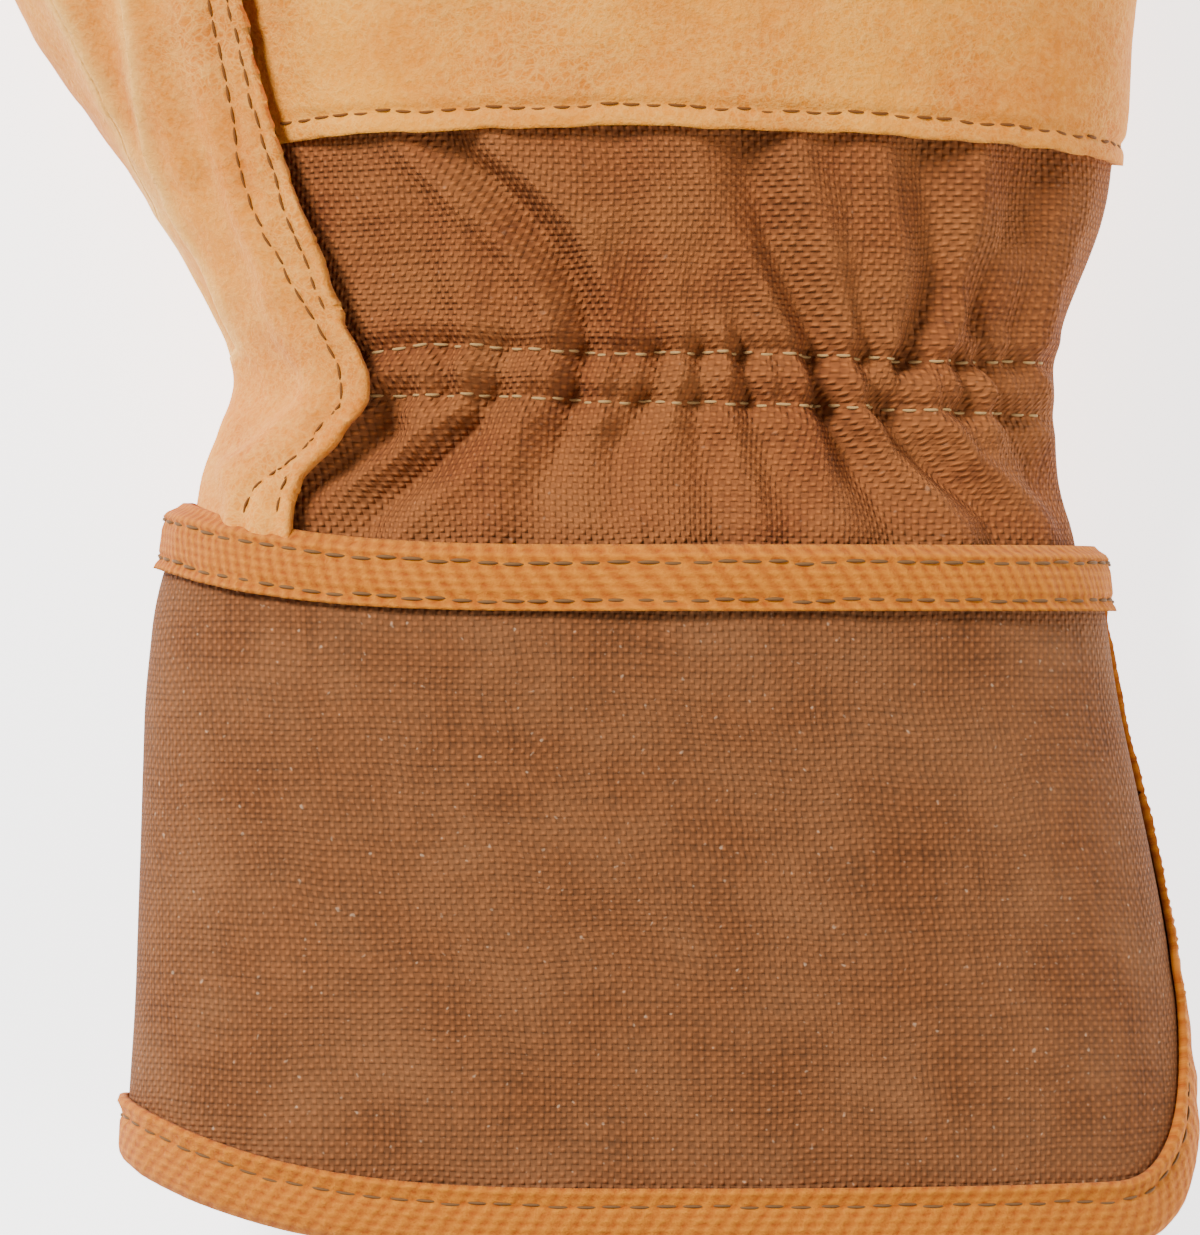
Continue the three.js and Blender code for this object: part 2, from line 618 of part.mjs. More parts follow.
// The cuff's canvas, grown on every side by a margin.
function cuff_sheet(margin) {
  const wider = (2 * margin) / half_girth;
  const columns = [-wider, ...cuff_columns.slice(1, -1), 1 + wider];
  const levels = [-margin / cuff_length, ...cuff_levels.slice(1)];
  const rings = columns.map((u) => [
    ...levels.map((v) => cuff_place(u, v, -margin)),
    ...levels.toReversed().map((v) => cuff_place(u, v, canvas_thickness + margin)),
  ]);
  return sheet_loft(rings);
}

// A loft of long thin sections, closed at each end by a strip between the section's two long sides.
function sheet_loft(rings) {
  const count = rings[0].length;
  const points = rings.flat().flatMap((p) => [p.x, p.y, p.z]);
  const faces = [];
  for (let r = 0; r < rings.length - 1; r++) {
    for (let i = 0; i < count; i++) {
      const a = r * count + i;
      const b = r * count + ((i + 1) % count);
      faces.push(a, b, b + count, a, b + count, a + count);
    }
  }
  const last = (rings.length - 1) * count;
  for (let i = 0; i < count / 2 - 1; i++) {
    const j = count - 1 - i;
    faces.push(i, j, j - 1, i, j - 1, i + 1);
    faces.push(last + i, last + j - 1, last + j, last + i, last + i + 1, last + j - 1);
  }
  const geometry = new THREE.BufferGeometry();
  geometry.setAttribute("position", new THREE.Float32BufferAttribute(points, 3));
  geometry.setIndex(faces);
  const made = solid(geometry);
  if (made.volume() > 0) return made;
  geometry.setIndex(faces.map((_, k) => faces[k - (k % 3) + [0, 2, 1][k % 3]]));
  return solid(geometry);
}
piece("cuff", cuff_sheet(0), canvas_material);

// Seam tape: a band round the whole wrist, over the cuff's top edge and onto the hand.
function seam_tape() {
  const rings = Array.from({ length: tape_steps }, (_, i) => {
    const turn = (2 * Math.PI * i) / tape_steps;
    const edge = cuff_top(turn) + gap;
    const low = seam_line(turn) - tape_width;
    const on_hand = leather_thickness + gap;
    const on_cuff = canvas_thickness + gap;
    return [
      cuff_point(low, turn, on_cuff),
      cuff_point(edge, turn, on_cuff),
      hand_point(edge, turn, on_hand),
      hand_point(seam_line(turn), turn, on_hand),
      hand_point(seam_line(turn), turn, on_hand + tape_thickness),
      cuff_point(edge, turn, on_cuff + tape_thickness),
      cuff_point(low, turn, on_cuff + tape_thickness),
    ];
  });
  return loft(rings, true);
}
piece("cuff_seam_tape", seam_tape(), tape_material);

// Hem binding: tape folded over the cuff's free edge, down one side of the slit, along the hem and up the other.
function hem_bar() {
  const slit_levels = [0.85, 0.7, 0.4, 0.16]; // up the slit, ending short of the seam tape
  const edge = [
    ...slit_levels.map((v) => [0, v]),
    ...cuff_columns.map((u) => [u, 0]),
    ...slit_levels.toReversed().map((v) => [1, v]),
  ];
  const inner = -gap - tape_thickness;
  const outer = canvas_thickness + gap + tape_thickness;
  const rings = edge.map(([u, v], i) => {
    const here = cuff_place(u, v, canvas_thickness / 2);
    const next = edge[Math.min(i + 1, edge.length - 1)];
    const before = edge[Math.max(i - 1, 0)];
    const ahead = cuff_place(next[0], next[1], canvas_thickness / 2)
      .sub(cuff_place(before[0], before[1], canvas_thickness / 2))
      .normalize();
    const away = cuff_normal(here.y, cuff_turn(u, v));
    const inward = new THREE.Vector3().crossVectors(ahead, away).normalize();
    const normal = new THREE.Vector3().crossVectors(inward, ahead).normalize();
    // Follow the sheet's own curve at a distance from its edge.
    const at = (distance, lift) => {
      const p = here.clone().addScaledVector(inward, distance);
      for (let i = 0; i < 5; i++) {
        const { size, slope } = sheet_reading(p);
        p.addScaledVector(normal, (1 - size) / slope.dot(normal));
      }
      const local = sheet_reading(p).slope;
      local.addScaledVector(ahead, -local.dot(ahead)).normalize();
      return p.addScaledVector(local, lift - canvas_thickness / 2);
    };
    return [
      at(binding_width, inner),
      at(binding_width / 2, inner),
      at(-gap - tape_thickness, inner),
      at(-gap - tape_thickness, outer),
      at(binding_width / 2, outer),
      at(binding_width, outer),
    ];
  });
  return loft(rings);
}

// A point's size in the section of the cuff at its own y, where 1 is on the middle of the wall, and how that
// changes with x and z.
function sheet_reading(point) {
  const side = (turn) => cuff_point(point.y, turn, canvas_thickness / 2);
  const [top, right, bottom, left] = [0, 0.5, 1, 1.5].map((share) => side(share * Math.PI));
  const half_x = (right.x - left.x) / 2;
  const half_z = (top.z - bottom.z) / 2;
  const dx = (point.x - (right.x + left.x) / 2) / half_x;
  const dz = (point.z - (top.z + bottom.z) / 2) / half_z;
  const size = (Math.abs(dx) ** roundness + Math.abs(dz) ** roundness) ** (1 / roundness);
  const slope_x = (Math.sign(dx) * Math.abs(dx / size) ** (roundness - 1)) / half_x;
  const slope_z = (Math.sign(dz) * Math.abs(dz / size) ** (roundness - 1)) / half_z;
  return { size, slope: new THREE.Vector3(slope_x, 0, slope_z) };
}
piece("cuff_hem_binding", hem_bar().subtract(cuff_sheet(gap)), tape_material);

// The origin is under the middle of the whole glove, on the surface it lies on.
const bounds = new THREE.Box3().setFromObject(glove, true);
glove.position.set(-(bounds.min.x + bounds.max.x) / 2, -(bounds.min.y + bounds.max.y) / 2, -bounds.min.z);

export default glove;
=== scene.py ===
"""A right-hand rigger glove lying palm down and filled out, in the order a glover puts it together.

Lengths are millimetres in the maker's frame: y is 0 at the hem's lowest point and grows towards the
fingertips, x grows towards the little finger and z is height. home carries them into the row's frame,
which is in metres.
"""

import json

import bpy
import numpy as np
import openvdb
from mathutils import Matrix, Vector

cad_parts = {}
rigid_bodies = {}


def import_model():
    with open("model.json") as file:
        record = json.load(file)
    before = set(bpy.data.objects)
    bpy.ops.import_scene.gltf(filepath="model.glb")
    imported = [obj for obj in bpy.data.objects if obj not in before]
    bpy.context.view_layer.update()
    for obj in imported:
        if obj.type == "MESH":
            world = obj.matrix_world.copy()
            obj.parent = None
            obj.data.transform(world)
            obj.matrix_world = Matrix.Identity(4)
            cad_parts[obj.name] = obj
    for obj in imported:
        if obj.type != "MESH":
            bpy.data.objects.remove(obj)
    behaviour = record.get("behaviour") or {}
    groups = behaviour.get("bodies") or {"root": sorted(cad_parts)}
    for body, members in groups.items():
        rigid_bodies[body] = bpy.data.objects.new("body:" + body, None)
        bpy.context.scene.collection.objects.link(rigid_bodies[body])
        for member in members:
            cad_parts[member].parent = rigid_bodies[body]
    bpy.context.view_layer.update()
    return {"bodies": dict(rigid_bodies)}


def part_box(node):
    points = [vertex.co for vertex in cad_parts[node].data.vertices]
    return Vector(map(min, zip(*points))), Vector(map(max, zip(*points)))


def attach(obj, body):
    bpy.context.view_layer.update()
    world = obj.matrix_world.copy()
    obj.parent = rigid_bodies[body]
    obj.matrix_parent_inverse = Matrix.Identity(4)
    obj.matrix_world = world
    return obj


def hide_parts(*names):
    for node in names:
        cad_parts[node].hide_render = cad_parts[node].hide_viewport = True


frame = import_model()

# Cuff: a flared sleeve of stiffened cotton canvas, open along a slit at the little-finger side, with two
# rounded corners where the slit meets the hem. Sewn to the hand by its top edge, under the seam tape.
body = next(iter(frame["bodies"]))
hem_low, hem_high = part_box("cuff_hem_binding")
hem_middle_x = 0.9  # the middle of the hem binding's width
metre = 1000  # in millimetres
home = np.array([(hem_low.x + hem_high.x) / 2 * metre - hem_middle_x, hem_low.y * metre, 0.0])
seam_y = 70.6
canvas_wall = 1.4
section_power = 2.3
# y, left, right, top and bottom of the cuff's inside
cuff_form = np.array(
    [
        (0, -53.0, 55.0, 47.7, 2.7),
        (12, -52.4, 54.5, 47.4, 2.7),
        (24, -51.6, 53.1, 46.8, 2.7),
        (40, -51.1, 50.0, 45.9, 2.7),
        (55, -50.7, 46.8, 45.0, 2.7),
        (65, -49.7, 45.4, 43.9, 2.7),
        (71, -47.9, 45.0, 43.2, 2.7),
    ]
)
# The slit's back edge and its opening, at the hem and beside the seam tape. A turn is an angle round the
# section from straight up, towards the little finger.
slit_turns = np.radians([91, 110])
slit_opening = np.radians([21, 5.1])
corner_radius = 27.0
slit_low = 26.0  # where the slit's edges leave the rounded corners
girth = 245.0
hem_rise = 7.8  # the hem climbs on the thumb side
seam_rise = 4.5  # and so does the seam
tape_lip = 2.4  # the cuff's top edge lies this far below the seam tape's
hem_fold = 1.3  # the binding's fold past the canvas's raw edge
glove_middle = np.array([0, 100, 20])
cuff_middle_z = 22
lattice_size = 128
square = ((0, 0), (1, 0), (0, 1), (1, 1))


def read(table, column, y):
    """A column of a table at y: straight between the rows, averaged over 5 mm so that no row shows."""
    near = [np.interp(y + d, table[:, 0], table[:, column]) for d in (-2.5, -1.2, 0, 1.2, 2.5)]
    return np.mean(near, axis=0)


def form_point(table, y, turn, grow):
    """A superellipse section at y: its centre plus its half size, grown, times the sine and the cosine of
    turn, each to the power 2 / 2.3."""
    left, right, top, bottom = (read(table, c, y) for c in (1, 2, 3, 4))
    across, up = (np.sign(s) * np.abs(s) ** (2 / section_power) for s in (np.sin(turn), np.cos(turn)))
    x = (left + right) / 2 + ((right - left) / 2 + grow) * across
    z = (top + bottom) / 2 + ((top - bottom) / 2 + grow) * up
    return np.stack(np.broadcast_arrays(x, y, z), axis=-1)


def eased(f):
    """From 0 to 1 with level ends: the cubic 3f² - 2f³."""
    return f * f * (3 - 2 * f)


def mix_square(corners, f, g):
    """The values at a square's corners, mixed by the share f along one side and g along the other."""
    return (corners[0] * (1 - f) + corners[1] * f) * (1 - g) + (corners[2] * (1 - f) + corners[3] * f) * g


def ripple(a, b, seed):
    """Smooth random height from -1 to 1: random numbers on a unit lattice, joined by an eased mix."""
    lattice = np.random.default_rng(seed).uniform(-1, 1, (lattice_size, lattice_size))
    i, j = np.floor(a).astype(int), np.floor(b).astype(int)
    corners = [lattice[(i + di) % lattice_size, (j + dj) % lattice_size] for di, dj in square]
    return mix_square(corners, eased(a - i), eased(b - j))


def thumb_side(turn):
    """1 at the thumb side and 0 over the rest: the cube of how far left the turn points."""
    return np.maximum(-np.sin(turn), 0) ** 3


def cuff_turn(u, y):
    """Turn of a place on the sheet: from the slit's back edge (u 0) over the back and under the palm to u 1.
    The slit turns and narrows between the top of the rounded corners and the seam."""
    up = np.clip((y - slit_low) / (seam_y - slit_low), 0, 1)
    back = slit_turns[0] + (slit_turns[1] - slit_turns[0]) * (1 - (1 - up) ** 2)
    return back - u * (2 * np.pi - slit_opening[0] - (slit_opening[1] - slit_opening[0]) * up)


def hem_line(u):
    """The hem's y: a quarter circle at each end of the sheet, plus the climb on the thumb side."""
    short = np.maximum(corner_radius - np.minimum(u, 1 - u) * girth, 0)
    corner = corner_radius - np.sqrt(np.maximum(corner_radius**2 - short**2, 0))
    return hem_fold + corner + hem_rise * thumb_side(cuff_turn(u, 0.0))


def cuff_place(u, v, grow):
    """The sheet between the hem line (v 0) and the seam (v 1)."""
    low, high = hem_line(u), seam_y + seam_rise * thumb_side(cuff_turn(u, seam_y)) - tape_lip
    y = low + (high - low) * v
    return form_point(cuff_form, y, cuff_turn(u, y), grow)


def grid_faces(rows, columns, close_columns=False):
    """Quads of a grid of points, whose rows are joined round into rings where its columns are closed."""
    r = np.arange(rows - 1)[:, None] * columns
    c = np.arange(columns if close_columns else columns - 1)[None, :]
    r2, c2 = r + columns, (c + 1) % columns
    corners = (r + c, r + c2, r2 + c2, r2 + c)
    return np.stack(np.broadcast_arrays(*corners), axis=-1).reshape(-1, 4)


def flat_places(along, across):
    """Places on the flat cloth, as pairs of millimetres."""
    return np.stack(np.broadcast_arrays(along, across), axis=-1)


def outward_sum(p, f):
    """Above 0 where faces f point away from the origin: the first corner times the cross product of the next
    two, summed over the faces."""
    return np.einsum("ij,ij->", p[f[:, 0]], np.cross(p[f[:, 1]], p[f[:, 2]]))


def cloth_lengths(table, y, turn):
    """Millimetres round the section from straight up, and along y: where a place lies on the flat cloth, so
    that the weave runs straight and keeps its size."""
    ring = form_point(table, y, turn, canvas_wall)[..., ::2]
    clockwise = np.sign(turn[-1, 0] - turn[0, 0])
    length = np.linalg.norm(np.diff(ring, axis=0), axis=-1).cumsum(0) * clockwise
    length = np.pad(length, ((1, 0), (0, 0)))
    order = slice(None, None, int(clockwise))
    top = [np.interp(0, turn[order, k], length[order, k]) for k in range(length.shape[1])]
    return flat_places(length - top, y)


def make_piece(name, points, faces, material, lengths=None, turn_out=True, wear_and_highlight=None):
    """A mesh piece from points in the maker's frame. Its faces are turned to point away from the glove's
    middle. lengths is each point's place on the flat cloth; the last argument is how far each point is
    painted pale, partly as rubbed wear and partly as painted highlight."""
    points = points.reshape(-1, 3)
    faces = [np.asarray(f) for f in (faces if isinstance(faces, list) else [faces])]
    sides = [f for f in faces if f.shape[1] < 5]
    if turn_out and sum(outward_sum(points - glove_middle, f) for f in sides) < 0:
        faces = [f[:, ::-1] for f in faces]
    mesh = bpy.data.meshes.new(name)
    mesh.from_pydata(((points + home) / metre).tolist(), [], [row for f in faces for row in f.tolist()])
    if lengths is not None:
        loops = np.concatenate([f.ravel() for f in faces])
        mesh.uv_layers.new(name="cloth").data.foreach_set("uv", lengths.reshape(-1, 2)[loops].ravel())
    if wear_and_highlight is not None:
        mesh.attributes.new("wear_and_highlight", "FLOAT", "POINT").data.foreach_set("value", wear_and_highlight)
    mesh.shade_smooth()
    mesh.materials.append(material)
    piece = bpy.data.objects.new(name, mesh)
    bpy.context.scene.collection.objects.link(piece)
    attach(piece, body)
    return piece


def thicken(piece, wall):
    """Gives a sheet its wall, inwards from the outer face."""
    solidify = piece.modifiers.new("wall", "SOLIDIFY")
    solidify.thickness = wall / metre
    solidify.offset = -1


def linear(hex_colour):
    """An sRGB hex colour as linear red, green and blue."""
    c = np.array([int(hex_colour[i : i + 2], 16) for i in (1, 3, 5)]) / 255
    return (*np.where(c <= 0.04045, c / 12.92, ((c + 0.055) / 1.055) ** 2.4), 1)


def add(tree, kind, inputs=None, **settings):
    """Adds a node with its settings; inputs holds a value or another node's output for each named socket."""
    node = tree.nodes.new(kind)
    for key, value in settings.items():
        setattr(node, key, value)
    for socket, value in (inputs or {}).items():
        if isinstance(value, bpy.types.NodeSocket):
            tree.links.new(value, node.inputs[socket])
        else:
            node.inputs[socket].default_value = value
    return node.outputs[0]


def new_material(name, roughness, sheen):
    """A matt material and its tree and shader. Sheen is the haze of loose fibres at grazing angles."""
    material = bpy.data.materials.new(name)
    material.use_nodes = True
    shader = material.node_tree.nodes["Principled BSDF"]
    shader.inputs["Roughness"].default_value = roughness
    shader.inputs["Sheen Weight"].default_value = sheen
    shader.inputs["Sheen Roughness"].default_value = 0.5
    shader.inputs["Specular IOR Level"].default_value = 0.15
    return material, material.node_tree, shader


def woven_canvas(name, cloth, shadow, light, relief, fleck):
    """Cotton duck, piece-dyed: a plain weave of 17 threads per centimetre. Each crossing is a bump whose
    corners sink into pits darkened with painted shade, every second one stands higher, and every thread has
    its own slightly different brown. relief is the bump's height, fleck the strength of the pale specks."""
    thread = 0.58  # from one thread to the next
    drift = 1.3  # how far the threads wander off their straight lines
    material, tree, shader = new_material(name, 0.9, 0.0)
    place = add(tree, "ShaderNodeUVMap", uv_map="cloth")
    bend = add(tree, "ShaderNodeTexNoise", {"Vector": place, "Scale": 0.08, "Detail": 1.0})
    bend = {0: bend.node.outputs["Color"], 1: (drift, drift, 0), 2: place}
    place = add(tree, "ShaderNodeVectorMath", bend, operation="MULTIPLY_ADD")
    wave = {}
    for axis, turn in (("x", 0.0), ("y", np.pi / 2)):
        turned = {"Vector": place, "Angle": -turn}
        turned = add(tree, "ShaderNodeVectorRotate", turned, rotation_type="Z_AXIS")
        split = add(tree, "ShaderNodeSeparateXYZ", {"Vector": turned})
        phase = add(tree, "ShaderNodeMath", {0: split, 1: np.pi / thread}, operation="MULTIPLY")
        wave[axis] = add(tree, "ShaderNodeMath", {0: phase}, operation="SINE")
        stretched = add(tree, "ShaderNodeVectorMath", {0: turned, 1: (0.12, 1.7, 1)}, operation="MULTIPLY")
        noise = add(tree, "ShaderNodeTexNoise", {"Vector": stretched, "Scale": 1.0, "Detail": 1.0})
        wave[axis + "_thread"] = noise
    crossing = add(tree, "ShaderNodeMath", {0: wave["x"], 1: wave["y"]}, operation="MULTIPLY")
    raised_thread = [add(tree, "ShaderNodeMath", {0: wave[axis]}, operation="ABSOLUTE") for axis in "xy"]
    cell = add(tree, "ShaderNodeMath", {0: raised_thread[0], 1: raised_thread[1]}, operation="ADD")
    over = add(tree, "ShaderNodeMath", {0: crossing, 1: 0.62}, operation="MULTIPLY")
    height = add(tree, "ShaderNodeMath", {0: cell, 1: 0.5, 2: over}, operation="MULTIPLY_ADD")
    threads = add(tree, "ShaderNodeMath", {0: wave["x_thread"], 1: wave["y_thread"]}, operation="ADD")
    uneven = add(tree, "ShaderNodeMath", {0: threads, 1: 0.9, 2: height}, operation="MULTIPLY_ADD")
    tone = add(tree, "ShaderNodeMapRange", {"Value": uneven, "From Min": 0.8, "From Max": 2.45})
    worn = add(tree, "ShaderNodeTexNoise", {"Vector": place, "Scale": 0.09, "Detail": 4.0})
    worn_tone = add(tree, "ShaderNodeMapRange", {"Value": worn, "From Min": 0.3, "From Max": 0.75})
    # Painted shade: the weave's low pits take the shadow colour and its raised threads the cloth colour, with
    # each thread's own brown shifting both.
    plain = add(tree, "ShaderNodeMixRGB", {"Fac": tone, "Color1": linear(shadow), "Color2": linear(cloth)})
    faded = add(tree, "ShaderNodeMixRGB", {"Fac": worn_tone, "Color1": plain, "Color2": linear(light)})
    mixed = add(tree, "ShaderNodeMixRGB", {"Fac": 0.3, "Color1": plain, "Color2": faded})
    specks = add(tree, "ShaderNodeTexNoise", {"Vector": place, "Scale": 1.3, "Detail": 1.0})
    speck = {"Value": specks, "From Min": 0.7, "From Max": 0.8, "To Max": fleck}
    speck = add(tree, "ShaderNodeMapRange", speck)
    colour = add(tree, "ShaderNodeMixRGB", {"Fac": speck, "Color1": mixed, "Color2": linear("#C9A888")})
    tree.links.new(colour, shader.inputs["Base Color"])
    bump = add(tree, "ShaderNodeBump", {"Height": uneven, "Distance": relief / metre, "Strength": 1.0})
    tree.links.new(bump, shader.inputs["Normal"])
    return material


stiff_canvas = woven_canvas("stiffened cotton canvas", "#89512B", "#482914", "#9A6A44", 0.16, 0.4)
u = np.linspace(0, 1, 330)[:, None]
u = u - 0.11 * np.sin(2 * np.pi * u)  # closer together at the rounded corners
v = np.linspace(0, 1, 90)[None, :]
cuff_points = cuff_place(u, v, canvas_wall)
slack = 0.5 * ripple(cuff_points[..., 0] / 21 + 9, cuff_points[..., 1] / 30 + cuff_points[..., 2] / 25, 3)
cuff_points[..., 2] += slack * np.sin(np.pi * v) * np.sign(cuff_points[..., 2] - cuff_middle_z)
cuff_y = cuff_points[..., 1]
cuff_cloth = cloth_lengths(cuff_form, cuff_y, cuff_turn(u, cuff_y))
cuff_faces = grid_faces(*cuff_y.shape)
cuff = make_piece("canvas_cuff", cuff_points, cuff_faces, stiff_canvas, cuff_cloth)
thicken(cuff, canvas_wall)
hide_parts("cuff")

# Hem binding: cotton twill tape folded over the cuff's raw edge, up one side of the slit, round the hem and
# up the other, and held by one row of stitches just below its beaded selvedge.
tape_wall = 0.75
binding_width = 5.2
binding_top = 0.9  # its ends, as a share of the slit's height, which the seam tape covers
fold_clearance = 0.15
fold_start = 0.3  # how far in from the raw edge the fold begins
rib_pitch = 1.8
rib_height = 0.05
rib_slant = 0.62
bead_pitch = 1.15
tape_thread_pitch = 0.45
rest_height = 0.02  # the lowest point of a tape that is flat where it rests
slit_steps, hem_steps, leg_steps = 160, 1400, 9


def unit(vectors):
    """Vectors divided by their lengths."""
    return vectors / np.maximum(np.linalg.norm(vectors, axis=-1, keepdims=True), 1e-9)


def cuff_normal(u, v):
    """Outward direction: the cross product of the sheet's directions round the wrist and up towards it."""
    y = cuff_place(u, v, 0)[..., 1]
    turn = cuff_turn(u, y)
    up = form_point(cuff_form, y + 1, turn, 0) - form_point(cuff_form, y - 1, turn, 0)
    around = form_point(cuff_form, y, turn + 0.03, 0) - form_point(cuff_form, y, turn - 0.03, 0)
    return unit(np.cross(around, up))


def section_size(points, grow):
    """How large a point is in its section (1 on the wall) and that number's slope along x and z."""
    left, right, top, bottom = (read(cuff_form, c, points[..., 1]) for c in (1, 2, 3, 4))
    half_x, half_z = (right - left) / 2 + grow, (top - bottom) / 2 + grow
    dx = (points[..., 0] - (left + right) / 2) / half_x
    dz = (points[..., 2] - (top + bottom) / 2) / half_z
    size = (np.abs(dx) ** section_power + np.abs(dz) ** section_power) ** (1 / section_power)
    slope_x = np.sign(dx) * np.abs(dx / size) ** (section_power - 1) / half_x
    slope_z = np.sign(dz) * np.abs(dz / size) ** (section_power - 1) / half_z
    return size, np.stack([slope_x, np.zeros_like(slope_x), slope_z], axis=-1)


def path_length(path):
    """How far along a path each of its points lies."""
    return np.pad(np.linalg.norm(np.diff(path, axis=0), axis=-1).cumsum(), (1, 0))


def evenly(path, step):
    """Places every step millimetres along a path: the row of each in the path, and how far along it lies."""
    length = path_length(path)
    place = np.arange(0, length[-1], step)
    return np.interp(place, length, np.arange(len(path))), place


def bell(x):
    """1 where x is 0, falling off evenly on both sides: the exponential of minus x squared."""
    return np.exp(-(x**2))


def twill_ribs(along, across, slant):
    """Height of a tape's ribs, which slant over it: the size of a sine to the power 0.7."""
    return rib_height * np.abs(np.sin(np.pi * (along + slant * across) / rib_pitch)) ** 0.7


slit_v = np.linspace(binding_top, 0, slit_steps, endpoint=False)
hem_u = (1 - np.cos(np.linspace(0, np.pi, hem_steps))) / 2
edge_u = np.concatenate([np.zeros(slit_steps), hem_u, np.ones(slit_steps)])
edge_v = np.concatenate([slit_v, np.zeros(hem_steps), slit_v[::-1]])
edge_row, edge_length = evenly(cuff_place(edge_u, edge_v, canvas_wall / 2), 0.45)
edge_u = np.interp(edge_row, np.arange(len(edge_u)), edge_u)
edge_v = np.interp(edge_row, np.arange(len(edge_v)), edge_v)
edge = cuff_place(edge_u, edge_v, canvas_wall / 2)
ahead = unit(np.gradient(edge, axis=0))
inward = unit(np.cross(ahead, cuff_normal(edge_u, edge_v)))
face_out = np.cross(inward, ahead)


def on_cuff(distance, lift):
    """Points that follow the cuff's curve at a distance in from its edge, lifted off its wall's middle: each
    is slid outwards until its section size is 1."""
    points = edge[:, None] + inward[:, None] * distance[None, :, None]
    for _ in range(4):
        size, slope = section_size(points, canvas_wall / 2)
        step = (1 - size) / np.einsum("ijk,ik->ij", slope, face_out)
        points = points + step[..., None] * face_out[:, None]
    slope = section_size(points, canvas_wall / 2)[1]
    slope = unit(slope - np.einsum("ijk,ik->ij", slope, ahead)[..., None] * ahead[:, None])
    return points + slope * np.broadcast_to(lift, points.shape[:2])[..., None], slope


inner_lift = canvas_wall / 2 + fold_clearance
outer_lift = inner_lift + tape_wall
leg = np.linspace(binding_width, fold_start, leg_steps)
fold = np.linspace(0, np.pi, leg_steps)
level = np.ones(leg_steps)
outer_leg = np.concatenate([leg, fold_start - outer_lift * np.sin(fold) * 1.25 - 0.001, leg[::-1]])
outer_rise = np.concatenate([level * outer_lift, outer_lift * np.cos(fold), level * -outer_lift])
along_edge = edge_length[:, None]
twill = twill_ribs(along_edge, outer_leg[None, :], rib_slant)
bead = 0.22 * bell((outer_leg - binding_width + 0.5) / 0.45)
bead = bead * (1 + 0.5 * np.sin(2 * np.pi * along_edge / bead_pitch))
seat = -0.3 * bell((outer_leg - binding_width + 1.7) / 0.5)  # the stitches pull it down
pucker = 0.16 * ripple(along_edge / 2.7, outer_leg[None, :] / 3 + 40, 8)
side = np.sign(outer_rise) + (outer_rise == 0)
outer_face, binding_up = on_cuff(outer_leg, outer_rise + side * (twill + bead + seat + pucker - 0.1))
inner_leg = np.concatenate([leg, leg[::-1]])
inner_face, _ = on_cuff(inner_leg, np.concatenate([level * -inner_lift, level * inner_lift]))
outer_face[..., 2] = np.maximum(outer_face[..., 2], rest_height)
binding_points = np.concatenate([outer_face, inner_face], axis=1)
profile = binding_points.shape[1]
end_caps = np.array([np.arange(profile)[::-1], np.arange(profile) + len(edge) * profile - profile])


def twill_tape(name):
    """Cotton twill tape, dyed mustard orange: fine diagonal ribs and a soft matt face, blotched paler by its
    fluff, with painted shade darkening the ribs' troughs and the gaps between threads.
    """
    material, tree, shader = new_material(name, 0.85, 0.04)
    place = add(tree, "ShaderNodeUVMap", uv_map="cloth")
    along, across = add(tree, "ShaderNodeSeparateXYZ", {"Vector": place}).node.outputs[:2]
    slanted = add(tree, "ShaderNodeMath", {0: across, 1: rib_slant, 2: along}, operation="MULTIPLY_ADD")
    rib = add(tree, "ShaderNodeMath", {0: slanted, 1: np.pi / (rib_pitch / 2)}, operation="MULTIPLY")
    rib = add(tree, "ShaderNodeMath", {0: rib}, operation="SINE")
    cross = add(tree, "ShaderNodeMath", {0: across, 1: np.pi / tape_thread_pitch}, operation="MULTIPLY")
    cross = add(tree, "ShaderNodeMath", {0: cross}, operation="SINE")
    fluff = add(tree, "ShaderNodeTexNoise", {"Vector": place, "Scale": 2.2, "Detail": 5.0, "Roughness": 0.7})
    height = add(tree, "ShaderNodeMath", {0: rib, 1: 0.16, 2: fluff}, operation="MULTIPLY_ADD")
    height = add(tree, "ShaderNodeMath", {0: cross, 1: 0.1, 2: height}, operation="MULTIPLY_ADD")
    # The colour follows the height: painted shade in the ribs' troughs and between the threads, and random
    # blotches of fluff.
    tone = add(tree, "ShaderNodeMapRange", {"Value": height, "From Min": 0.15, "From Max": 0.85})
    colour = {"Fac": tone, "Color1": linear("#A04C0C"), "Color2": linear("#CE7E1E")}
    colour = add(tree, "ShaderNodeMixRGB", colour)
    tree.links.new(colour, shader.inputs["Base Color"])
    bump = add(tree, "ShaderNodeBump", {"Height": height, "Distance": 0.0003, "Strength": 1.0})
    tree.links.new(bump, shader.inputs["Normal"])
    return material


orange_tape = twill_tape("cotton twill tape")
binding_faces = [grid_faces(len(edge), profile, close_columns=True), end_caps]
binding_cloth = flat_places(along_edge, np.concatenate([outer_leg, inner_leg])[None, :])
binding = make_piece("twill_hem_binding", binding_points, binding_faces, orange_tape, binding_cloth)
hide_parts("cuff_hem_binding")


def thread(name, colour):
    """Waxed cotton sewing thread: matt, with a little sheen from its twist."""
    material, _, shader = new_material(name, 0.7, 0.03)
    shader.inputs["Base Color"].default_value = linear(colour)
    return material


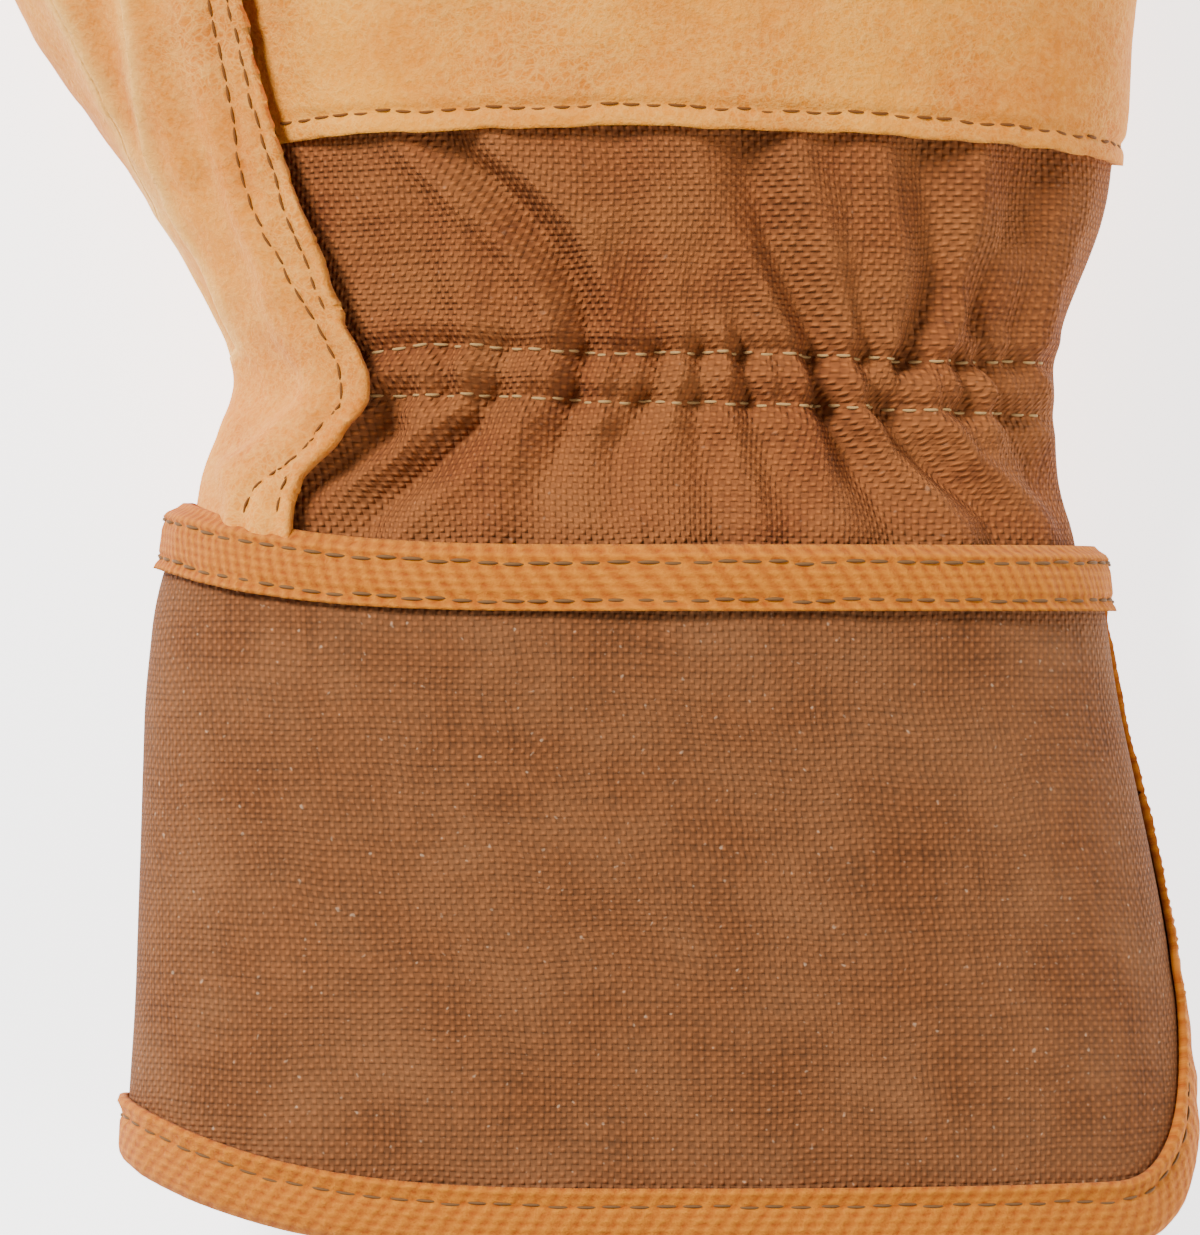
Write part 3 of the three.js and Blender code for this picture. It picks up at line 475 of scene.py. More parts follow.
def sew(name, path, up, material, pitch, stitch, radius):
    """A row of stitches along a path, one every pitch millimetres. Each is a thread that rises as a half sine
    and thins where it goes in."""
    rings, sides = 7, 6
    length = path_length(path)
    count = int(length[-1] / pitch)
    wander = np.random.default_rng(len(path)).normal(0, 0.09, (count, 3))
    share = np.linspace(0, 1, rings)
    place = (np.arange(count) * pitch + 0.3 + wander[:, 0])[:, None] + (stitch + wander[:, 1:2]) * share
    follow = lambda values: np.stack([np.interp(place, length, values[:, k]) for k in range(3)], axis=-1)
    centre, out = follow(path), unit(follow(up))
    along = unit(np.gradient(centre, axis=1))
    sideways = np.cross(along, out)
    rise = np.sin(np.pi * share)
    lift = (radius * (1.5 * rise**0.6 - 0.75))[None, :, None]
    centre = centre + out * lift + sideways * wander[:, None, 2:3]
    thick = (radius * (0.3 + 0.7 * rise**0.5))[None, :, None, None]
    angle = np.linspace(0, 2 * np.pi, sides, endpoint=False)[None, None, :, None]
    ring = np.cos(angle) * sideways[:, :, None] + 0.85 * np.sin(angle) * out[:, :, None]
    start = np.arange(count)[:, None, None] * (rings * sides)
    faces = (start + grid_faces(rings, sides, close_columns=True)[None]).reshape(-1, 4)
    first, last = np.arange(sides)[::-1], (rings - 1) * sides + np.arange(sides)
    ends = np.concatenate([start[:, 0] + first, start[:, 0] + last])
    make_piece(name, centre[:, :, None] + thick * ring, [faces, ends], material)


tape_thread = thread("grey brown cotton thread", "#6A4A2A")
sew("hem_stitches", outer_face[6:-6, 3], binding_up[6:-6, 3], tape_thread, 2.7, 2.3, 0.15)
sew("hem_stitches_inside", outer_face[6:-6, -4], -binding_up[6:-6, -4], tape_thread, 2.7, 2.3, 0.15)

# Back of the hand: one piece of brown cotton duck from the cuff to the fingers. Elastic sewn inside the wrist
# between two pale rows of stitches draws it into gathers, deepest at the rows and fading out under the strap.
# y, left, right, top and bottom of the inside of the hand
hand_form = np.array(
    [
        (61, -45.7, 42.9, 40.9, 5.1),
        (70.6, -45.8, 42.9, 41.1, 5.1),
        (77.1, -44.5, 41.0, 39.1, 3.9),
        (84.1, -42.0, 40.4, 37.4, 2.2),
        (90.0, -39.8, 40.5, 37.0, 1.3),
        (95.4, -39.8, 41.9, 38.1, 0.9),
        (100.8, -40.7, 44.4, 39.1, 0.4),
        (106.2, -42.0, 46.1, 40.2, 0.0),
        (112.2, -43.0, 46.6, 41.1, 0.0),
        (126.8, -44.6, 47.0, 42.4, 0.0),
        (145.1, -45.6, 48.0, 43.0, 0.0),
        (160.2, -46.0, 49.0, 41.9, 0.0),
        (173.2, -46.0, 49.5, 38.7, 2.6),
        (180.8, -45.8, 49.3, 34.8, 6.0),
        (186.6, -44.1, 48.1, 28.4, 13.3),
    ]
)
base_y = 178.6
# y and x of the edge of the leather that wraps onto the back
wrap_edge = np.array(
    [
        (60, -35.7), (72.5, -35.7), (75.8, -35.3), (77.2, -34.4), (78.6, -33.0), (80.2, -31.2),
        (82.0, -30.1), (83.7, -28.8), (85.4, -28.0), (88.2, -28.0), (90.5, -28.9), (93, -30.2),
        (96.3, -31.6), (99.7, -32.6), (102.4, -33.5), (105.2, -34.8), (108, -36), (111, -37.2),
        (114.4, -38.4), (118, -39.4), (124.6, -41.1), (145, -45.9), (158, -53.5),
    ]
)
# x, then the y of the upper and the lower row of stitches along the elastic
elastic_rows = np.array(
    [
        (-30, 90.2, 86.0), (-23.6, 91.1, 85.9), (-15.8, 90.7, 85.8), (-5.2, 90.1, 85.2), (12, 90.2, 85.0),
        (26.5, 89.4, 84.5), (42, 89.6, 84.1),
    ]
)
# Where each gather's valley runs, as x at these stations along y, then its depth above, between and below the
# two elastic rows, and its width
stations = np.array([73, 80, 85.5, 91, 97, 104, 112])
gathers = np.array(
    [
        (-34, -29, -25.5, -24, -26, -28, -30, 0.1, 0.4, 0.8, 2.6),
        (-29, -24, -21, -20.8, -22.3, -22.8, -24, 0.25, 0.5, 0.35, 1.7),
        (-30.5, -20.8, -16.2, -15, -15.4, -16, -17.5, 0.15, 0.6, 1.1, 2.3),
        (-12, -9.8, -8, -6.5, -7.8, -12.8, -22.1, 1.0, 0.8, 0.6, 1.9),
        (-6, -4.5, 0.3, 1.2, -0.8, -2, -4, 0.2, 0.45, 0.35, 1.8),
        (7, 5, 5, 5.2, 4.6, 4, 3, 0.15, 0.5, 0.5, 1.6),
        (14, 12, 10, 9.5, 8.5, 7, 5.5, 0.15, 0.55, 0.25, 1.4),
        (25, 21, 17.5, 17.3, 14.6, 11.6, 8.8, 1.0, 0.9, 1.0, 2.0),
        (29, 25, 23, 22, 21, 20, 18, 0.15, 0.5, 0.35, 1.5),
        (36.5, 27.6, 24.6, 26.5, 29.6, 29.4, 27.7, 0.65, 0.7, 1.05, 2.0),
        (39, 35, 32.5, 31.8, 32.9, 33.6, 34.5, 0.2, 0.6, 0.4, 1.5),
        (43.2, 38.5, 36.3, 34.3, 34.5, 37.1, 38.2, 0.75, 0.7, 0.8, 1.7),
        (45, 41.5, 38.5, 37.1, 38.2, 40.4, 41.6, 0.6, 0.6, 0.45, 1.6),
    ]
)
gather_depth = 2.7
elastic_middle_y = 87.7
wrap_overlap = 4  # how far the canvas and the strap run on under the wrapped leather
side_turn = np.radians(88)  # the canvas ends here on both sides, just short of the side seams


def wrap_x(y):
    """The x of the wrapped leather's edge at y."""
    return np.interp(y, wrap_edge[:, 0], wrap_edge[:, 1])


def gather_height(x, y):
    """Sum over the gathers: a valley of that depth, the exponential of minus the distance over the width to
    the power 1.6, with a low ridge on both sides of it."""
    height = np.zeros(np.broadcast(x, y).shape)
    fade = np.interp(y, [66, 72, 78, 108, 118], [0.15, 0.6, 1, 1, 0.2])
    for row in gathers:
        middle = np.mean([np.interp(y + d, stations, row[:7]) for d in (-2, 0, 2)], axis=0)
        deep = np.interp(y, [82, 86, 89.5, 94], [row[9], row[8], row[8], row[7]])
        away = np.abs(x - middle) / (row[10] * np.interp(y, [76, 86, 90, 104], [1.5, 0.8, 0.8, 1.45]))
        height += deep * (-np.exp(-(away**1.6)) + 0.42 * np.exp(-((away - 1.7) ** 2) / 0.6))
    return height * gather_depth * fade


def row_line(x, column):
    """The y of an elastic row at x."""
    return np.interp(x, elastic_rows[:, 0], elastic_rows[:, column])


def canvas_height(x, y):
    """The gathers, the two grooves that the elastic's stitches pull, small puckers beside them and a slack
    ripple."""
    height = gather_height(x, y)
    channel = bell((y - elastic_middle_y) / 5.5)
    height += 0.75 * ripple(x / 2.1 + 0.22 * (y - 88), y / 16, 5) * channel
    height += 0.5 * ripple(x / 5.2 + 0.1 * y, y / 19, 6) * np.interp(y, [70, 80, 100, 116], [0.5, 1, 1, 0.3])
    height += 0.22 * ripple(x / 1.7, y / 4.2, 7) * np.interp(y, [70, 80, 100, 116], [0.6, 1, 0.8, 0.3])
    for column in (1, 2):
        away = y - row_line(x, column)
        height -= 0.85 * bell(away) - 0.35 * bell((np.abs(away) - 2.1) / 1.1)
    return height


def turn_at(table, x, y, grow):
    """The turn whose section point has this x, on the upper half: the arcsine of its share of the half width
    to the power 1.15."""
    left, right = read(table, 1, y), read(table, 2, y)
    share = np.clip((x - (left + right) / 2) / ((right - left) / 2 + grow), -1, 1)
    return np.arcsin(np.sign(share) * np.abs(share) ** (section_power / 2))


def canvas_point(turn, y):
    """The canvas's outer face: the hand's inside grown by the wall and by the canvas's own height."""
    flat = form_point(hand_form, y, turn, canvas_wall)
    rise = canvas_height(flat[..., 0], y) * np.clip(np.cos(turn) * 3, 0, 1)
    return form_point(hand_form, y, turn, canvas_wall + rise)


def outward(path, beside):
    """The direction off a surface along a path on it: square to the path and to the way to one beside it."""
    return unit(np.cross(np.gradient(path, axis=0), beside - path))


duck = woven_canvas("brown cotton duck", "#9E5A2C", "#552A15", "#B0743F", 0.24, 0.12)
y = np.concatenate([np.linspace(63, 117, 150), np.linspace(118, base_y - 0.2, 18)])[None, :]
left_turn = np.maximum(turn_at(hand_form, wrap_x(y) - wrap_overlap, y, canvas_wall), -side_turn)
turn = left_turn + (side_turn - left_turn) * np.linspace(0, 1, 290)[:, None]
canvas_points = canvas_point(turn, y)
back_faces = grid_faces(*turn.shape)
back_cloth = cloth_lengths(hand_form, y, turn)
back = make_piece("gathered_canvas_back", canvas_points, back_faces, duck, back_cloth)
thicken(back, canvas_wall * 0.8)
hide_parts("back_canvas")
elastic_thread = thread("pale cotton thread", "#A88452")
for column, name in ((1, "upper"), (2, "lower")):
    x = np.linspace(-29.5, 41.2, 700)
    row_y = row_line(x, column)
    turn = turn_at(hand_form, x, row_y, canvas_wall)
    path = canvas_point(turn, row_y)
    up = outward(path, canvas_point(turn, row_y + 0.3))
    sew(f"elastic_stitches_{name}", path, up, elastic_thread, 2.3, 1.75, 0.17)

# Leather: the palm, the thumb and the finger fronts are split cowhide, cut from one soft skin here: smooth
# tubes for the hand, thumb and fingers joined into one surface, which the seams then part into panels.
leather_wall = 1.8
digit_width = 20.6
# share of the way to the tip, half width, half height and height of the middle, as shares of the width
finger_form = np.array(
    [
        (-0.1, 0.49, 0.49, 1.04),
        (0.08, 0.5, 0.5, 1.04),
        (0.3, 0.5, 0.5, 0.93),
        (0.6, 0.495, 0.485, 0.73),
        (0.89, 0.475, 0.465, 0.585),
    ]
)
thumb_form = np.array(
    [
        (0.0, 0.61, 0.55, 0.7),
        (0.34, 0.61, 0.54, 0.67),
        (0.6, 0.53, 0.5, 0.62),
        (0.87, 0.48, 0.46, 0.53),
    ]
)
thumb_root = np.array([-24.04, 97.06])
thumb_angle = np.radians(35)
thumb_axis = np.array([-np.sin(thumb_angle), np.cos(thumb_angle)])
thumb_length, thumb_width = 108.0, 27.0
# x at the base line, sideways lean to the tip, length and width
fingers = {
    "index": (-33.6, -8.4, 76.8, 20.4),
    "middle": (-9.8, -2.5, 91.4, 20.6),
    "ring": (13.9, 5.0, 81.3, 20.4),
    "little": (37.0, 11.7, 57.6, 19.2),
}
longest_finger = fingers["middle"][2]
hand_close_y, hand_close = 180.5, 8.5  # where the hand's end starts to close, and how far on it has closed
grid_low = np.array([-104.0, 56.0, -4.0])
voxel = 0.9
far = 20.0
least_size, least_slope = 0.25, 1e-5  # keep the fields smooth along the tubes' axes
gx, gy, gz = (low + voxel * steps for low, steps in zip(grid_low, np.ogrid[:184, :243, :62]))


def finger_middle(along):
    """Height of a finger's middle, at a distance from its base."""
    return np.interp(along / longest_finger, finger_form[:, 0], finger_form[:, 3]) * digit_width


def thumb_middle(share):
    """Height of the thumb's middle, at a share of its length."""
    return np.interp(share, thumb_form[:, 0], thumb_form[:, 3]) * thumb_width


def tube_field(root, lean, length, width, table, middle):
    """Distance outside an elliptical tube along a leaning axis: a point's size in the section, less 1, over
    that size's slope. The last stretch closes as half an ellipsoid."""
    axis = np.array(lean) / np.hypot(*lean)
    s = (gx - root[0]) * axis[0] + (gy - root[1]) * axis[1]
    sideways = (gx - root[0]) * axis[1] - (gy - root[1]) * axis[0]
    share = s / length
    wide = np.interp(share, table[:, 0], table[:, 1]) * width + leather_wall
    tall = np.interp(share, table[:, 0], table[:, 2]) * width + leather_wall
    tip = (1 - table[-1, 0]) * length + leather_wall
    past = np.maximum(s - table[-1, 0] * length, 0) / tip + np.minimum(s + 6, 0) / 12
    dx, dz = sideways / wide, (gz - middle(share)) / tall
    size = np.maximum(np.sqrt(dx**2 + dz**2 + past**2), least_size)
    slope = np.sqrt((dx / wide) ** 2 + (dz / tall) ** 2 + (past / tip) ** 2 + least_slope)
    return (size - 1) * size / slope


def join(a, b, soft):
    """Smooth union of two fields: the smaller one, lowered by a quarter of soft where they are equal."""
    share = np.clip(0.5 + 0.5 * (b - a) / soft, 0, 1)
    return b * (1 - share) + a * share - soft * share * (1 - share)


left, right, top, bottom = (read(hand_form, c, gy) for c in (1, 2, 3, 4))
half_x, half_z = (right - left) / 2 + leather_wall, (top - bottom) / 2 + leather_wall
dx, dz = np.abs(gx - (left + right) / 2) / half_x, np.abs(gz - (top + bottom) / 2) / half_z
past = np.maximum(gy - hand_close_y, 0) / hand_close
size = (dx**section_power + dz**section_power + past**section_power) ** (1 / section_power)
size = np.maximum(size, least_size)
slope_x = (dx / size) ** (section_power - 1) / half_x
slope_z = (dz / size) ** (section_power - 1) / half_z
hand = (size - 1) / np.sqrt(slope_x**2 + slope_z**2 + (past / hand_close) ** 2 + least_slope)
digits = None
for x0, lean, length, width in fingers.values():
    middle = lambda share, length=length: finger_middle(share * length)
    tube = tube_field((x0, base_y), (lean, length), length, width, finger_form, middle)
    digits = tube if digits is None else join(digits, tube, 1.0)
thumb_tube = tube_field(thumb_root, thumb_axis, thumb_length, thumb_width, thumb_form, thumb_middle)
skin = join(join(hand, digits, 4.0), thumb_tube, 5.0)
skin = -join(-skin, gz, 1.5)  # flattened where it rests
volume = openvdb.FloatGrid(far)
volume.copyFromArray(skin.astype(np.float32))
volume.transform = openvdb.createLinearTransform(voxelSize=voxel)
skin_points, _, skin_quads = volume.convertToPolygons(isovalue=0.0)
skin_points = skin_points.astype(float) + grid_low
skin_faces = np.concatenate([skin_quads[:, [0, 1, 2]], skin_quads[:, [0, 2, 3]]]).astype(int)
if outward_sum(skin_points - skin_points.mean(0), skin_faces) < 0:
    skin_faces = skin_faces[:, ::-1]
skin_normals = np.zeros_like(skin_points)
corner = skin_points[skin_faces]
facing = np.cross(corner[:, 1] - corner[:, 0], corner[:, 2] - corner[:, 0])
for k in range(3):
    np.add.at(skin_normals, skin_faces[:, k], facing)
skin_data = np.hstack([skin_points, unit(skin_normals)])


def trim(data, faces, keep):
    """Keeps the part of a triangle mesh where keep is positive, cutting each edge where keep crosses zero."""
    inside = keep[faces] > 0
    count = inside.sum(1)
    roll = lambda f, first: np.stack([f[np.arange(len(f)), (first + k) % 3] for k in range(3)], axis=1)
    one = roll(faces[count == 1], inside[count == 1].argmax(1))
    two = roll(faces[count == 2], (~inside[count == 2]).argmax(1))
    edges = np.concatenate([one[:, [0, 1]], one[:, [0, 2]], two[:, [0, 1]], two[:, [0, 2]]])
    pairs, which = np.unique(np.sort(edges, axis=1), axis=0, return_inverse=True)
    which = which.reshape(-1) + len(data)
    share = (keep[pairs[:, 0]] / (keep[pairs[:, 0]] - keep[pairs[:, 1]]))[:, None]
    data = np.concatenate([data, data[pairs[:, 0]] * (1 - share) + data[pairs[:, 1]] * share])
    a, b, c, d = np.split(which, np.cumsum([len(one), len(one), len(two)]))
    faces = np.concatenate(
        [
            faces[count == 3],
            np.stack([one[:, 0], a, b], axis=1),
            np.stack([c, two[:, 1], two[:, 2]], axis=1),
            np.stack([c, two[:, 2], d], axis=1),
        ]
    )
    used, faces = np.unique(faces, return_inverse=True)
    return data[used], faces.reshape(-1, 3)


# y and x of the seam that sets the thumb into the hand
thumb_seam = np.array(
    [
        (40, -72), (77.1, -60), (91.1, -41.7), (97.1, -44.1), (105.2, -49.1), (111, -51.3), (114.9, -52),
        (126.8, -53.6), (139.7, -52.3), (152.7, -48.9), (165.6, -50.4), (180.8, -55.9), (221.8, -71.6),
        (395, -86),
    ]
)
ridge_faded, ridge_full = 93, 101  # the thumb's setting seam rises to its full height between these y
seam_gap = 0.05
palm_low_y = 62  # the palm ends here, inside the cuff


def groove(distance):
    """A seam sewn on the inside: a bell-shaped groove at it and a low ridge 3.2 mm away."""
    return -0.9 * bell(distance / 1.1) + 0.25 * bell((distance - 3.2) / 1.8)


def raised(distance):
    """A seam sewn on the outside: a bell-shaped ridge at it and a groove 2.6 mm away."""
    return 0.45 * bell(distance) - 0.45 * bell((distance - 2.6) / 1.4)


def setting_ridge(p, distance):
    """The ridge of the thumb's setting seam, which fades out towards the wrist."""
    return raised(distance) * np.interp(p[:, 1], [ridge_faded, ridge_full], [0, 1])


def wrap_distance(p):
    """How far a place lies inside the wrapped edge, square to that edge."""
    slope = (wrap_x(p[:, 1] + 1.5) - wrap_x(p[:, 1] - 1.5)) / 3
    return (wrap_x(p[:, 1]) - p[:, 0]) / np.sqrt(1 + slope**2)


def side_height(p):
    """Height of the side seams: the middle of the hand, then the middle of the fingers."""
    hand = (read(hand_form, 3, p[:, 1]) + read(hand_form, 4, p[:, 1])) / 2
    return np.where(p[:, 1] < base_y + 6, hand, finger_middle(p[:, 1] - base_y))


def from_thumb_seam(p):
    """Distance to the little-finger side of the thumb's setting seam."""
    return (p[:, 0] - np.interp(p[:, 1], thumb_seam[:, 0], thumb_seam[:, 1])) * 0.9


def split_cowhide(name, tan, deep, pale):
    """Split cowhide: tan suede, blotched warm and pale by the dye, with a fine nap and a net of pale creases.
    The nap is drawn 0.9 mm wide, coarser than it is, so that it shows."""
    material, tree, shader = new_material(name, 0.8, 0.04)
    place = add(tree, "ShaderNodeTexCoord").node.outputs["Object"]
    blotch = {"Vector": place, "Scale": metre / 22, "Detail": 3.0, "Roughness": 0.6}
    blotch = add(tree, "ShaderNodeTexNoise", blotch)
    blotch = add(tree, "ShaderNodeMapRange", {"Value": blotch, "From Min": 0.34, "From Max": 0.64})
    nap = {"Vector": place, "Scale": metre / 0.9, "Detail": 3.0, "Roughness": 0.7}
    nap = add(tree, "ShaderNodeTexNoise", nap)
    bend = add(tree, "ShaderNodeTexNoise", {"Vector": place, "Scale": metre / 4, "Detail": 2.0})
    bend = add(tree, "ShaderNodeVectorMath", {0: bend, 1: (0.0025, 0.0025, 0.0025)}, operation="MULTIPLY")
    bent = add(tree, "ShaderNodeVectorMath", {0: place, 1: bend}, operation="ADD")
    creases = []
    for size, width in ((1.5, 0.1), (0.8, 0.15)):
        net = {"Vector": bent, "Scale": metre / size}
        net = add(tree, "ShaderNodeTexVoronoi", net, feature="DISTANCE_TO_EDGE").node.outputs["Distance"]
        lines = {"Value": net, "From Max": width, "To Min": 1.0, "To Max": 0.0}
        creases.append(add(tree, "ShaderNodeMapRange", lines))
    patchy = add(tree, "ShaderNodeTexNoise", {"Vector": place, "Scale": metre / 14, "Detail": 2.0})
    patchy = add(tree, "ShaderNodeMapRange", {"Value": patchy, "From Min": 0.36, "From Max": 0.62})
    crease = add(tree, "ShaderNodeMath", {0: creases[0], 1: creases[1]}, operation="MAXIMUM")
    crease = add(tree, "ShaderNodeMath", {0: crease, 1: patchy}, operation="MULTIPLY")
    hide = add(tree, "ShaderNodeMixRGB", {"Fac": blotch, "Color1": linear(deep), "Color2": linear(tan)})
    speckle = {"Value": nap, "From Min": 0.4, "From Max": 0.75, "To Max": 0.35}
    speckle = add(tree, "ShaderNodeMapRange", speckle)
    hide = add(tree, "ShaderNodeMixRGB", {"Fac": speckle, "Color1": hide, "Color2": linear(pale)})
    # Painted pale along the raised seams and the wrap's doubled edge: partly rubbed wear, partly painted
    # highlight on their crests.
    wear_and_highlight = add(tree, "ShaderNodeAttribute", attribute_name="wear_and_highlight").node.outputs["Fac"]
    line = add(tree, "ShaderNodeMath", {0: crease, 1: 0.32}, operation="MULTIPLY")
    line = add(tree, "ShaderNodeMath", {0: wear_and_highlight, 1: 0.65, 2: line}, operation="MULTIPLY_ADD", use_clamp=True)
    hide = add(tree, "ShaderNodeMixRGB", {"Fac": line, "Color1": hide, "Color2": linear(pale)})
    tree.links.new(hide, shader.inputs["Base Color"])
    height = add(tree, "ShaderNodeMath", {0: blotch, 1: 0.6, 2: nap}, operation="MULTIPLY_ADD")
    bump = add(tree, "ShaderNodeBump", {"Height": height, "Distance": 0.00035, "Strength": 0.8})
    tree.links.new(bump, shader.inputs["Normal"])
    return material


hide = split_cowhide("tan split cowhide", "#DA8518", "#B75E08", "#EDB45C")
p = skin_data[:, :3]
near_wrap, side_z, thumb_away = wrap_distance(p), side_height(p), from_thumb_seam(p)
over_back = np.minimum(-near_wrap, p[:, 2] - side_z)
palm_ends = np.minimum(base_y - 0.2 - p[:, 1], p[:, 1] - palm_low_y)
palm_keep = np.minimum.reduce([-over_back, thumb_away - seam_gap, palm_ends])
palm_data, palm_faces = trim(skin_data, skin_faces, palm_keep)


def from_wrap_row(p, column):
    """Sideways distance to one of the two rows of stitches along the wrapped edge."""
    return wrap_x(p[:, 1]) - p[:, 0] - np.interp(p[:, 1], wrap_rows[:, 0], wrap_rows[:, column])


def crumpled(p, seed, coarse, fine):
    """Soft uneven folds over the leather: a broad and a fine ripple, each with its size across and along the
    hand and its height, fading out towards the floor."""
    broad = ripple(p[:, 0] / coarse[0] + p[:, 2] / 9, p[:, 1] / coarse[1], seed)
    small = ripple(p[:, 0] / fine[0], p[:, 1] / fine[1] + p[:, 2] / 4, seed + 1)
    return (coarse[2] * broad + fine[2] * small) * np.clip(p[:, 2] / 4, 0, 1)


def palm_rise(p):
    """How far the palm leather stands off the skin: the doubled edge over the canvas, the pull of its two
    rows of stitches, the ridge behind them, the seams' grooves, and its soft folds."""
    inside = wrap_distance(p)
    seam = side_height(p)
    upper = np.clip((p[:, 2] - seam - 1) / 4, 0, 1)
    double = 1.35 / (1 + np.exp((inside - 6.6) / 0.4)) + 1.3 * np.exp(-((np.maximum(inside, 0) / 13) ** 4))
    outer_row = np.where(np.abs(p[:, 1] - 85) < 8.5, 0, bell(from_wrap_row(p, 1) / 0.5))
    pull = -0.45 * outer_row - 0.6 * bell(from_wrap_row(p, 2) / 0.7)
    ridge = 0.9 * bell((inside - 10.3) / 1.3) * np.interp(p[:, 1], [88, 100, 112], [0.1, 0.4, 1])
    low_side = np.where(p[:, 0] > 0, seam - p[:, 2], 9)
    rise = upper * (double + pull + ridge) + groove(low_side) + groove(base_y - p[:, 1])
    rise = rise + setting_ridge(p, from_thumb_seam(p))
    drawn_in = np.where(p[:, 0] > 0, bell(np.maximum(seam - p[:, 2], 0) / 7), 0)
    rise = rise - 1.1 * drawn_in * np.interp(p[:, 1], [100, 112], [1, 0])
    crumple = crumpled(p, 11, (6.5, 8.5, 0.45), (2.6, 3.3, 0.2)) * (1 - drawn_in)
    return rise + crumple * np.interp(p[:, 1], [palm_low_y, 76, 90], [0, 0.6, 1])


# y, then how far the outer and the inner row of stitches lie inside the wrapped edge
wrap_rows = np.array(
    [
        (73, 1.5, 4.6), (75, 1.3, 4.2), (77.3, 0.7, 2.9), (79, 0.6, 2.4), (81.5, 0.6, 2.5),
        (84, 0.6, 2.2), (87, 0.6, 2.5), (90, 0.6, 2.3), (94, 0.7, 2.5), (97.5, 1.1, 3.3),
        (100.5, 1.4, 3.8), (104.5, 1.6, 4.7), (108, 1.2, 4.4), (113, 1.1, 3.7), (117, 1.0, 3.3),
        (128, 1.0, 3.0),
    ]
)
pale_ridge_width = 0.9  # how far from a raised seam the leather is painted pale, partly as wear and partly as painted highlight
palm_points = palm_data[:, :3] + unit(palm_data[:, 3:]) * palm_rise(palm_data[:, :3])[:, None]
# Pale along the thumb's setting seam and, on the upper side, past the wrap's doubled edge: rubbed wear and
# painted highlight.
worn_and_highlit = bell(from_thumb_seam(palm_data) / pale_ridge_width)
worn_and_highlit = worn_and_highlit + 0.15 * bell((wrap_distance(palm_data) - 7.4) / 1.2) * (palm_data[:, 2] > 20)
palm = make_piece(
    "palm_and_wrap_leather", palm_points, palm_faces, hide, turn_out=False, wear_and_highlight=worn_and_highlit
)
thicken(palm, 1.3)
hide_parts("palm_leather")


def skin_path(x, y):
    """Points on the skin straight above x, y, where the field last changes sign, and the direction off it."""
    i, j = (x - grid_low[0]) / voxel, (y - grid_low[1]) / voxel
    heights = np.zeros((4, len(x)))
    for k, (di, dj) in enumerate(square):
        column = skin[np.floor(i).astype(int) + di, np.floor(j).astype(int) + dj]
        top = column.shape[1] - 1 - (column[:, ::-1] < 0).argmax(1)
        below, above = column[np.arange(len(x)), top], column[np.arange(len(x)), top + 1]
        heights[k] = grid_low[2] + voxel * (top + below / (below - above))
    f, g = i % 1, j % 1
    slope_x = ((heights[1] - heights[0]) * (1 - g) + (heights[3] - heights[2]) * g) / voxel
    slope_y = ((heights[2] - heights[0]) * (1 - f) + (heights[3] - heights[1]) * f) / voxel
    up = unit(np.stack([-slope_x, -slope_y, np.ones_like(x)], axis=1))
    return np.stack([x, y, mix_square(heights, f, g)], axis=1), up


def smoothed(values, reach):
    """Each value averaged with those up to reach places before and after it."""
    count = 2 * reach + 1
    return np.convolve(np.pad(values, reach, "edge"), np.ones(count) / count, "valid")


hide_thread = thread("dark brown waxed thread", "#6B4018")
for name, column, start, end in (("outer", 1, 94.5, 128), ("heel", 1, 73, 76.8), ("inner", 2, 73, 128)):
    y = np.linspace(start, end, int((end - start) * 9))
    x = wrap_x(y) - np.interp(y, wrap_rows[:, 0], wrap_rows[:, column])
    path, up = skin_path(smoothed(x, 9), y)
    up = unit(np.stack([smoothed(up[:, k], 12) for k in range(3)], axis=1))
    path = path + up * (palm_rise(path) + 0.12)[:, None]
    sew(f"wrap_stitches_{name}", path, up, hide_thread, 2.2, 1.95, 0.15)

# Thumb: a back and a front panel of the same hide, sewn together along the thumb's own seam and set into the
# hand by another. Both seams are sewn on the outside, so they stand up as ridges, painted pale along their
# crests partly as rubbed wear and partly as painted highlight.
# share of the thumb's length, and how far across the thumb its own seam lies, as a share of its width
thumb_line = np.array(
    [(-0.1, -0.9), (0.18, -0.68), (0.29, -0.585), (0.415, -0.495), (0.6, -0.42), (0.8, -0.5), (1.1, -0.9)]
)


def thumb_back_distance(p):
    """Distance inside the thumb's back panel: above the thumb's middle and on the hand's side of its seam."""
    from_root = p[:, :2] - thumb_root
    share = from_root @ thumb_axis / thumb_length
    across = from_root @ np.array([thumb_axis[1], -thumb_axis[0]])
    line = np.interp(share, thumb_line[:, 0], thumb_line[:, 1]) * thumb_width
    return np.minimum(p[:, 2] - thumb_middle(share), across - line)


in_back = thumb_back_distance(p)
for name, side in (("back", 1), ("front", -1)):
    keep = np.minimum(-thumb_away - seam_gap, side * in_back - seam_gap)
    data, faces = trim(skin_data, skin_faces, keep)
    q = data[:, :3]
    inside = side * thumb_back_distance(q)
    rise = raised(inside) + setting_ridge(q, -from_thumb_seam(q))
    rise = rise + crumpled(q, 21, (7, 8, 0.4), (2.8, 3.1, 0.18))
    # Pale along both of the thumb's seams: rubbed wear and painted highlight on the ridges.
    worn_and_highlit = bell(inside / pale_ridge_width) + bell(from_thumb_seam(q) / pale_ridge_width)
    q = q + unit(data[:, 3:]) * rise[:, None]
    panel = make_piece(f"thumb_{name}_leather", q, faces, hide, turn_out=False, wear_and_highlight=worn_and_highlit)
    thicken(panel, 1.4)
    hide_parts(f"thumb_{name}")

